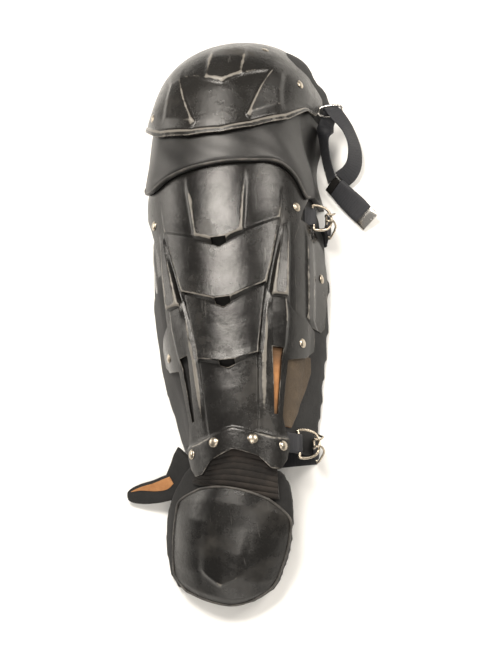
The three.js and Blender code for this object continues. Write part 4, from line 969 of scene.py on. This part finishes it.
def puff(node_name, voxel, slack, most, fuller=None):
    """A soft copy of a CAD solid, with voxels and the most that a point moves in mm.
    slack is the spare share of cloth, and fuller gives how far each point moves out besides."""
    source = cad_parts[node_name]
    mesh = source.data.copy()
    mesh.transform(source.matrix_world)
    piece = as_piece(node_name + "_soft", mesh)
    cells = piece.modifiers.new("cells", "REMESH")
    cells.mode, cells.voxel_size = "VOXEL", voxel / MM
    even = piece.modifiers.new("even", "SMOOTH")
    even.factor, even.iterations = 0.5, 6
    start = corners_of(baked(piece))
    cloth = piece.modifiers.new("cloth", "CLOTH")
    cloth.settings.quality = 4
    cloth.settings.mass = 0.2
    cloth.settings.use_pressure = True
    cloth.settings.uniform_pressure_force = CLOTH_PRESSURE
    cloth.settings.shrink_min = -slack
    cloth.settings.bending_stiffness = 0.4
    cloth.settings.effector_weights.gravity = 0
    cloth.point_cache.frame_start, cloth.point_cache.frame_end = 1, CLOTH_FRAMES
    for number in range(1, CLOTH_FRAMES + 1):
        scene.frame_set(number)
    mesh = baked(piece)
    scene.frame_set(1)
    move = corners_of(mesh) - start
    length = np.linalg.norm(move, axis=1, keepdims=True)
    place = start + move * np.minimum(1, most / MM / np.maximum(length, 1e-9))
    if fuller:
        place += fuller(place * MM - ORIGIN) / MM
    place[:, 2] = np.maximum(place[:, 2], FLOOR_CLEAR / MM)
    mesh.vertices.foreach_set("co", place.ravel())
    mesh.shade_smooth()
    once_finer = piece.modifiers.new("finer", "SUBSURF")
    once_finer.levels = once_finer.render_levels = 1
    dress(piece, LOOK["pad"])
    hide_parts(node_name)
    print(node_name, len(mesh.vertices), "moved", round(float(length.mean()) * MM, 2), "mm")


def ease(value, low, high):
    share = np.clip((value - low) / (high - low), 0, 1)
    return share * share * (3 - 2 * share)


def knee_corner(points):
    """The knee pad is fuller at its upper corner on the strap side."""
    x, y, z = points.T
    out = 7 * ease(x, 40, 95) * ease(y, 425, 470) * ease(z, 4, 30)
    return np.stack([out, out * 0.4, 0 * out], -1)


def calf_side(points):
    """The shin pad is fuller at the plain side of the calf."""
    x, y, _ = points.T
    out = 5 * ease(-x, 45, 80) * ease(y, 60, 110) * ease(-y, -250, -200)
    return np.stack([-out, 0 * out, 0 * out], -1)


puff("knee_pad", voxel=4.5, slack=0.02, most=2.2, fuller=knee_corner)
puff("shin_pad", voxel=4.5, slack=0.015, most=2.2, fuller=calf_side)
puff("foot_pad", voxel=3.5, slack=0.015, most=1.6)

# the band's lower line, whose "along" is the side in degrees
BAND_HEM = table("along hem", [
    [-100, 0.87], [-84, 0.86], [-74, 0.84], [-66, 0.815], [-58, 0.79], [-45, 0.777],
    [-30, 0.785], [0, 0.79], [22, 0.794], [38, 0.8], [48, 0.786], [54, 0.765],
    [58, 0.742], [62, 0.724], [66, 0.732], [72, 0.745], [84, 0.76], [100, 0.78],
])
# how full it is, whose "along" is the share from its hem up
BAND_CROWN = table("along out", [[0, 0.5], [0.03, 0.7], [0.1, 0.9], [0.5, 1], [0.9, 0.96], [1, 0.8]])
BAND_SIDE_SHARE, CAP_OVERLAP = 0.4, 10.0
cap_rim = named(CAP_COLUMNS, CAP_ROWS[0])
CAP_LOW, CAP_RISE, CAP_EDGE = cap_rim["t_mid"], cap_rim["t_edge"] - cap_rim["t_mid"], cap_rim["s_edge"]


def band_along(side, share):
    """How far along the leg: share 0 is the band's hem, and 1 its top under the cap's rim."""
    rim = CAP_LOW + CAP_RISE * np.minimum(np.abs(side - CAP_TURN) / CAP_EDGE, 1) ** 1.9
    rim = LEG_LENGTH * (rim + cap_lean(rim, side - CAP_TURN))
    return lerp(LEG_LENGTH * smooth(BAND_HEM, "hem", side), rim + CAP_OVERLAP, share)


def band_point(side, share):
    """A place on the band's crowned face, with its few soft folds."""
    thin = lerp(1, BAND_SIDE_SHARE, ease(np.abs(side), 40, 66))
    fold = 0.5 * np.sin(side * 0.17 + 4 * share) * np.sin(side * 0.071 + 7 * share)
    height = BAND_GAP + (BAND_THICKNESS * smooth(BAND_CROWN, "out", share) + fold) * thin
    return leg_point(band_along(side, share), side, height)


band_share, band_side = np.meshgrid(np.linspace(0, 1, 31), np.linspace(-100, 100, 161), indexing="ij")
band_outer = band_point(band_side, band_share)
band_back = np.where(np.abs(band_side) > 70, WING_FACE, BAND_GAP)
band_inner = leg_point(band_along(band_side, band_share), band_side, band_back)
band = make_wall("knee_band_look", band_outer, band_inner, LOOK["band"], "band_fabric", bevel=0.9)
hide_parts("knee_band")
print("band", len(band.data.polygons))

# %% [markdown]
# The foam panel is tan where the slot shows it, and painted shade darkens it under the shell
# beside the slot and towards the slot's ends. The instep panel has eight soft ribs across it.

# %% Foam and instep
LINER_THICKNESS = 2.0
FOAM_ROWS = table("along s_in s_out", [
    [0.085, 29, 62], [0.13, 26, 70], [0.2, 26, 76], [0.25, 27, 79], [0.29, 29, 77],
])


def foam_face(v, drop=0.0):
    return leg_point(v[..., 0] * LEG_LENGTH, v[..., 1], WING_FACE - drop)


foam_shares = np.linspace(0, 1, 6)
foam_sides = lerp(FOAM_ROWS["s_in"][:, None], FOAM_ROWS["s_out"][:, None], foam_shares)
foam_coarse = np.stack(np.broadcast_arrays(FOAM_ROWS["along"][:, None], foam_sides), -1)
foam_values = finer(foam_coarse, foam_face, 2.0)[0]
# painted shade: the foam is darkened under the shell past 46 degrees and towards the slot's ends
slot_end_shade = 0.75 * np.clip(np.abs(foam_values[..., 0] - 0.19) / 0.05 - 0.6, 0, 1)
painted_shade = np.maximum(np.clip((foam_values[..., 1] - 46) / 3, 0, 1), slot_end_shade)
foam = make_wall("foam_panel_look", foam_face(foam_values), foam_face(foam_values, LINER_THICKNESS),
                 LOOK["foam"], "tan_foam", edge=painted_shade)
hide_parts("foam_panel")

GAP = 0.4
INSTEP_RIBS, INSTEP_RIB_HEIGHT, INSTEP_THICKNESS = 8, 1.6, 4.0
FOOT_FACE = -SHELL_WALL - 2.0
down, across = np.meshgrid(np.linspace(0, 1, 97), np.linspace(-1, 1, 61), indexing="ij")


def instep_face(drop, rib):
    under = 0.2 * RELIEF - SHELL_WALL - 2 * GAP - drop
    top = leg_point(LEG_LENGTH * (0.034 - 0.03 * np.abs(across) ** 1.5), across * 44, under)
    foot = toe_point((across * 0.8 - 0.06) * TOE_HALF_WIDTH, 0.05 * TOE_LENGTH, FOOT_FACE - drop)
    face = lerp(top, foot, down[..., None])
    face[..., 2] += rib * np.abs(np.sin(down * math.pi * INSTEP_RIBS)) ** 0.6
    return face


instep_faces = instep_face(0, INSTEP_RIB_HEIGHT), instep_face(INSTEP_THICKNESS, 0)
instep = make_wall("instep_pad_look", *instep_faces, LOOK["instep"], "instep_fabric")
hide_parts("instep_pad")
print("foam", len(foam.data.polygons), "instep", len(instep.data.polygons))

# %% [markdown]
# Straps follow stops of place, width direction, width and thickness. The two back straps come
# off the pad's plain edge, cross the floor and end round their hooks.

# %% Straps
STRAP_WIDTH, STRAP_THICKNESS, WIRE = 25.0, 2.0, 3.0
TAB_LIFT = 1.2
STRAP_FACE = PAD_FACE + GAP + STRAP_THICKNESS
TAB_FACE = PAD_FACE + GAP + TAB_LIFT
# how far an end lies before and past the bar that it wraps, and how thick it is there
HOOK_WRAP = ((-4, 3), (-1.8, WIRE + 3), (1.8, WIRE + 3), (3.2, 2.5))
RING_WRAP = ((-5, 3), (-2, WIRE + 3), (2, WIRE + 3), (3.4, 2.5))
RING_LENGTH, RING_DEPTH, RING_LIFT, RING_SETTLE = 30.0, 22.0, 7.4, 3.4


def make_strap(name, stops, count, nodes, material=None, least=0.0):
    """A webbing strap along stops of x, y, z, wide x, wide y, wide z, width and thickness."""
    path = curve_of(stops, count)
    ahead = unit(np.gradient(path[:, :3], axis=0))
    wide = unit(path[:, 3:6] - ahead * (path[:, 3:6] * ahead).sum(1, keepdims=True))
    thick = np.cross(ahead, wide)
    angle = np.linspace(0, 2 * np.pi, 28, endpoint=False)
    a = np.sign(np.cos(angle)) * np.abs(np.cos(angle)) ** 0.45
    b = np.sign(np.sin(angle)) * np.abs(np.sin(angle)) ** 0.6
    half, deep = path[:, 6] / 2, path[:, 7] / 2
    sideways = (half[:, None] * a)[..., None] * wide[:, None]
    rings = path[:, None, :3] + sideways + (deep[:, None] * b)[..., None] * thick[:, None]
    rings[..., 2] = np.maximum(rings[..., 2], least)
    length = run_length(path[:, :3])
    uv = np.stack(np.broadcast_arrays(half[:, None] * a, length[:, None]), -1) / MM
    piece = make_loft(name, rings, material or LOOK["strap"], uv=uv, sharp=70)
    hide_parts(*nodes)
    print(name, "length", round(float(length[-1])), "mm")
    return piece


def stop(at, wide, width=STRAP_WIDTH, thickness=STRAP_THICKNESS):
    return [*at, *wide, width, thickness]


def along_leg(along, side):
    half = STRAP_WIDTH / 2
    return unit(leg_point(along + half, side, STRAP_FACE) - leg_point(along - half, side, STRAP_FACE))


def ring_bar(along):
    return leg_point(along, FLARE_ANGLE, PAD_FACE + RING_LIFT) - [0, 0, RING_SETTLE]


def back_strap(name, along, hook_bar):
    """From the plain side's edge, under the leg along the floor, and up round the hook's bar."""
    wide = np.array([0, 1.0, 0])
    edge = leg_point(along, FLOOR_SIDE, PAD_FACE)[0]
    corner = [(2.4, 5), (2.2, 2.6), (0.4, 1)]
    floor_run = (14 - edge, -edge / 3, edge / 3, edge - 14)
    start_wide = along_leg(along, -88)
    stops = [stop(leg_point(along, side, STRAP_FACE), start_wide) for side in (-80, -88, -95)]
    stops += [stop((-edge - out, along, z), wide) for out, z in corner]
    stops += [stop((x, along, STRAP_THICKNESS / 2), wide) for x in floor_run]
    stops += [stop((edge + out, along, z), wide) for out, z in corner[::-1]]
    rise = unit(hook_bar - np.array(stops[-1][:3]))
    for step, thickness in HOOK_WRAP:
        stops.append(stop(hook_bar + rise * step, wide, thickness=thickness))
    make_strap(name + "_strap_look", stops, 260, [name + "_strap"])


def ring_tab(name, along, side, bar):
    """From under the shell's edge to the ring, and round its straight bar."""
    start = leg_point(along, side, TAB_FACE)
    middle = leg_point(along, (side + FLARE_ANGLE) / 2, TAB_FACE)
    wide, width, end = along_leg(along, side), RING_LENGTH - WIRE * 3, unit(bar - middle)
    stops = [stop(start, wide, width), stop(middle, wide, width)]
    for step, thickness in RING_WRAP:
        stops.append(stop(bar + end * step, wide, width, thickness))
    make_strap(name + "_ring_tab_look", stops, 70, [name + "_ring_tab"])


WING_CLEAR = 0.5  # mm between the wing's end and the calf strap
CALF_ALONG = WING_ROWS[-1][1] * LEG_LENGTH + STRAP_WIDTH / 2 + WING_CLEAR
# each ring's name, its place along the leg, where its tab starts, and which way it hangs
RINGS = [
    ("calf", CALF_ALONG, 66, np.array([0.87, 0, -0.49])),
    ("ankle", 19.0, 58, np.array([0.93, 0, -0.37])),
]
HOOK_BAR = np.array([-6, 0, -17])  # from the ring's far side to the bar of its hook
for name, along, side, out in RINGS:
    bar = ring_bar(along)
    back_strap(name, along, bar + out * RING_DEPTH + HOOK_BAR)
    ring_tab(name, along, side, bar)


def by_knee(x, past, z):
    return np.array([x, past, z]) * LEG_RADIUS + [0, LEG_LENGTH, 0]


# x, how far past the knee and z as shares of the leg's radius, the way across, and the width
KNEE_STRAP_STOPS = [
    [1.16, -0.56, 0.14, 0.5, -0.2, 0.84, 0.88],
    [1.12, -0.3, 0.2, 0.5, -0.1, 0.85, 0.88],
    [1.12, -0.07, 0.27, 0.6, 0, 0.75, 0.88],
    [1.17, 0.09, 0.32, 0.8, 0.25, -0.5, 0.8],
    [1.22, 0.195, 0.34, 0.84, 0.26, -0.48, 0.76],
    [1.24, 0.26, 0.376, 0.84, 0.26, -0.48, 0.76],
    [1.25, 0.25, 0.42, 0.84, 0.26, -0.48, 0.76],
    [1.3, 0.17, 0.42, 0.82, 0.3, -0.48, 0.8],
    [1.41, 0, 0.34, 0.6, 0.4, -0.7, 0.88],
    [1.47, -0.21, 0.27, -0.55, 0, 0.83, 0.96],
    [1.45, -0.4, 0.21, -0.6, 0.1, 0.79, 0.96],
    [1.38, -0.51, 0.175, -0.6, 0.3, 0.74, 0.96],
    [1.27, -0.58, 0.15, -0.62, 0.42, 0.66, 0.96],
]
knee_stops = []
for x, past, z, wide_x, wide_y, wide_z, width in KNEE_STRAP_STOPS:
    wide = unit(np.array([wide_x, wide_y, wide_z]))
    if knee_stops and wide @ knee_stops[-1][3:6] < 0:
        wide = -wide
    knee_stops.append(stop(by_knee(x, past, z), wide, width * STRAP_WIDTH))
make_strap("knee_strap_look", knee_stops, 200, ["knee_strap"])

# the same with the thickness, as a share of the strap's
KNEE_END_STOPS = [
    [1.21, -0.66, 0.125, 0.62, 0.5, 0.6, 0.96, 2.5],
    [1.31, -0.8, 0.12, 0.66, 0.52, 0.54, 1.04, 3],
    [1.41, -0.93, 0.11, 0.72, 0.52, 0.45, 1.08, 3],
    [1.49, -1.04, 0.1, 0.76, 0.52, 0.38, 1.04, 2.25],
]
end_stops = [stop(by_knee(*row[:3]), row[3:6], row[6] * STRAP_WIDTH, row[7] * STRAP_THICKNESS)
             for row in KNEE_END_STOPS]
make_strap("knee_strap_end_look", end_stops, 50, ["knee_strap_end"])

# %% [markdown]
# Metal and small fittings: bent wire rings and hooks, the flat clip and the slide of the knee
# strap, and domed rivets that sit where the CAD part's rivets do.

# %% Rings, hooks and rivets
def wire(name, points, thickness, count, nodes, material=LOOK["metal"]):
    path = curve_of(points, count, closed=True)
    piece = make_tube(name, path, thickness / 2, material, closed=True)
    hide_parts(*nodes)


half = RING_LENGTH / 2
RING_OUTLINE = np.array([[0, -half], [0, -half * 0.7], [0, 0], [0, half * 0.7], [0, half],
                         [0.45, half], [0.85, half * 0.7], [1, 0], [0.85, -half * 0.7], [0.45, -half]])
HOOK_PROFILE = np.array([[0, 0], [6, 5], [10, 14], [8, 20.5], [3, 22.5], [0, 19.5], [0.2, 15.5]])
for name, along, _, out in RINGS:
    bar = ring_bar(along)
    ring = bar + RING_OUTLINE[:, :1] * RING_DEPTH * out + RING_OUTLINE[:, 1:] * [0, 1, 0]
    wire(name + "_ring_look", ring, WIRE, 120, [name + "_ring"])
    hook_bar = bar + out * RING_DEPTH + HOOK_BAR
    half_width = lerp(STRAP_WIDTH / 2 + WIRE, 4, np.minimum(np.arange(len(HOOK_PROFILE)) / 3, 1))
    going = np.stack([HOOK_PROFILE[:, 0], half_width, HOOK_PROFILE[:, 1]], -1)
    nose, foot = going[-1:] * [1, 0, 1], going[:1] * [1, 0, 1]
    loop = np.vstack([going, nose, (going * [1, -1, 1])[::-1], foot]) + hook_bar
    wire(name + "_hook_look", loop, WIRE * 0.8, 220, [name + "_hook"])

KNEE_RING = [[1.12, 0.16, 0.43], [1.34, 0.23, 0.3], [1.345, 0.315, 0.34], [1.125, 0.245, 0.47]]
wire("knee_ring_look", [by_knee(*row) for row in KNEE_RING], WIRE, 90, ["knee_ring"], LOOK["steel"])

CLIP_LENGTH, CLIP_WIDTH, SLIDE_LENGTH = 13, 26, 9
before, last = (np.array(row[:3]) for row in end_stops[-2:])
forward = unit(last - before)
clip = [stop(last + forward * (GAP + CLIP_LENGTH * share), end_stops[-1][3:6], CLIP_WIDTH, thickness)
        for share, thickness in ((0, 2.4), (0.35, 4), (1, 2.4))]
make_strap("knee_strap_clip_look", clip, 24, ["knee_strap_clip"], LOOK["steel"])
first, second = (np.array(row[:3]) for row in end_stops[:2])
back = unit(first - second)
slide = [stop(first + back * (GAP + SLIDE_LENGTH * share), end_stops[0][3:6], 24, 6)
         for share in (0, 0.5, 1)]
make_strap("knee_strap_slide_look", slide, 16, ["knee_strap_slide"], LOOK["shell"])

RIVETS = [
    ("top", 0.692, 54), ("top", 0.692, -54), ("lug", 0.315, 62), ("lug", 0.315, -62),
    ("ankle", 0.028, 48), ("ankle", 0.028, -48), ("arch", 0.042, 18), ("arch", 0.042, -18),
    ("wing", 0.53, 84), ("wing", 0.53, -84),
]
RIVETS = [(f"rivet_{part}_{'right' if side > 0 else 'left'}", along, side)
          for part, along, side in RIVETS]
RIVETS += [("rivet_cap_right", 1.09, 60), ("rivet_cap_left", 1.0, -50), ("rivet_cap_top", 1.18, 30)]
RIVET_HEIGHT = 2.4
# radius and height over the shell, from the shank's end round the rim to the top
RIVET_OUTLINE = np.array([
    [0, -2.6], [2.2, -2.6], [2.2, -0.1], [5.2, 0], [5.5, 0.25], [5.3, 0.8],
    [4.4, 1.5], [2.9, 2.1], [1.4, 2.35], [0, RIVET_HEIGHT],
])


def rivet(name, along, side):
    """A domed head whose top is where the CAD rivet's is."""
    out = unit(leg_point(along * LEG_LENGTH, side, 1) - leg_point(along * LEG_LENGTH, side, 0))
    place = np.array(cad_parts[name].matrix_world)
    solid = (corners_of(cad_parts[name].data) @ place[:3, :3].T + place[:3, 3]) * MM - ORIGIN
    top = solid[np.argmax(solid @ out)]
    one = unit(np.cross(out, [0, 1, 0.3]))
    other = np.cross(out, one)
    angle = np.linspace(0, 2 * np.pi, 32, endpoint=False)[None, :, None]
    radius, height = (RIVET_OUTLINE[:, k, None, None] for k in (0, 1))
    circle = np.cos(angle) * one + np.sin(angle) * other
    rings = top - out * RIVET_HEIGHT + np.maximum(radius, 0.02) * circle + height * out
    piece = make_loft(name + "_look", rings, LOOK["metal"], sharp=60)
    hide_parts(name)


for name, along, side in RIVETS:
    rivet(name, along, side)
print("rivets", len(RIVETS))

# %% [markdown]
# Thin trim: the piping along the band's lower hem and round the toe cap's rim. Then the tongue
# that lies out at the ankle, with a tan wedge of its lining showing.

# %% Piping and tongue
def piping(name, points, radius, count, closed=False):
    path = curve_of(points, count, closed)
    path[:, 2] = np.maximum(path[:, 2], radius)
    taper = 0 if closed else 3
    make_tube(name, path, radius, LOOK["piping"], closed=closed, sides=10, taper=taper)


hem_sides = np.linspace(-84, 66, 76)
piping("band_piping", band_point(hem_sides, 0 * hem_sides + 0.02), 1.4, 260)

toe_grid = np.array(TOE_GRID, float)
toe_rim = [toe_grid[0, 1:-1], toe_grid[1:-1, -1], toe_grid[-1, -2:0:-1], toe_grid[-2:0:-1, 0]]
toe_rim = toe_faces(np.vstack(toe_rim))[0]
piping("toe_piping", toe_rim + TOE_UP * 0.2, 1.3, 300, closed=True)

# x, y, z, width and thickness along the tongue, as shares of the leg's radius
TONGUE_STOPS = np.array([
    [-0.56, 0.12, 0.5, 0.42, 0.05], [-0.63, 0.06, 0.44, 0.4, 0.06],
    [-0.71, -0.01, 0.37, 0.34, 0.06], [-0.81, -0.09, 0.29, 0.29, 0.07],
    [-0.9, -0.1, 0.25, 0.28, 0.075], [-1.03, -0.11, 0.19, 0.26, 0.08],
    [-1.2, -0.11, 0.13, 0.23, 0.075], [-1.33, -0.11, 0.09, 0.17, 0.065],
    [-1.39, -0.11, 0.08, 0.1, 0.05], [-1.405, -0.11, 0.08, 0.03, 0.02],
]) * LEG_RADIUS
TONGUE_WIDE = np.array([0, 0.9, 0.42])  # the way across it
TONGUE_EDGE = 3  # mm from the lining's wedge to the tongue's edge
LINING_WIDTHS, LINING_THICKNESS = (9, 12, 9, 4, 0.6), 1.2
tongue_stops = [stop(row[:3], TONGUE_WIDE, row[3], row[4]) for row in TONGUE_STOPS]
tongue = make_strap("ankle_tongue_look", tongue_stops, 120, ["ankle_tongue"],
                    LOOK["pad"], least=0.3)
tongue_out = unit(np.cross([1, 0, 0.4], TONGUE_WIDE))
tongue_out *= np.sign(tongue_out[2])
lining = []
for row, width in zip(TONGUE_STOPS[3:8], LINING_WIDTHS):
    over, aside = row[4] / 2 + 0.2, row[3] / 2 - width / 2 - TONGUE_EDGE
    middle = row[:3] + tongue_out * over + unit(TONGUE_WIDE) * aside
    lining.append(stop(middle, TONGUE_WIDE, width, LINING_THICKNESS))
make_strap("tongue_lining", lining, 60, [], LOOK["foam"])
print("trim done")
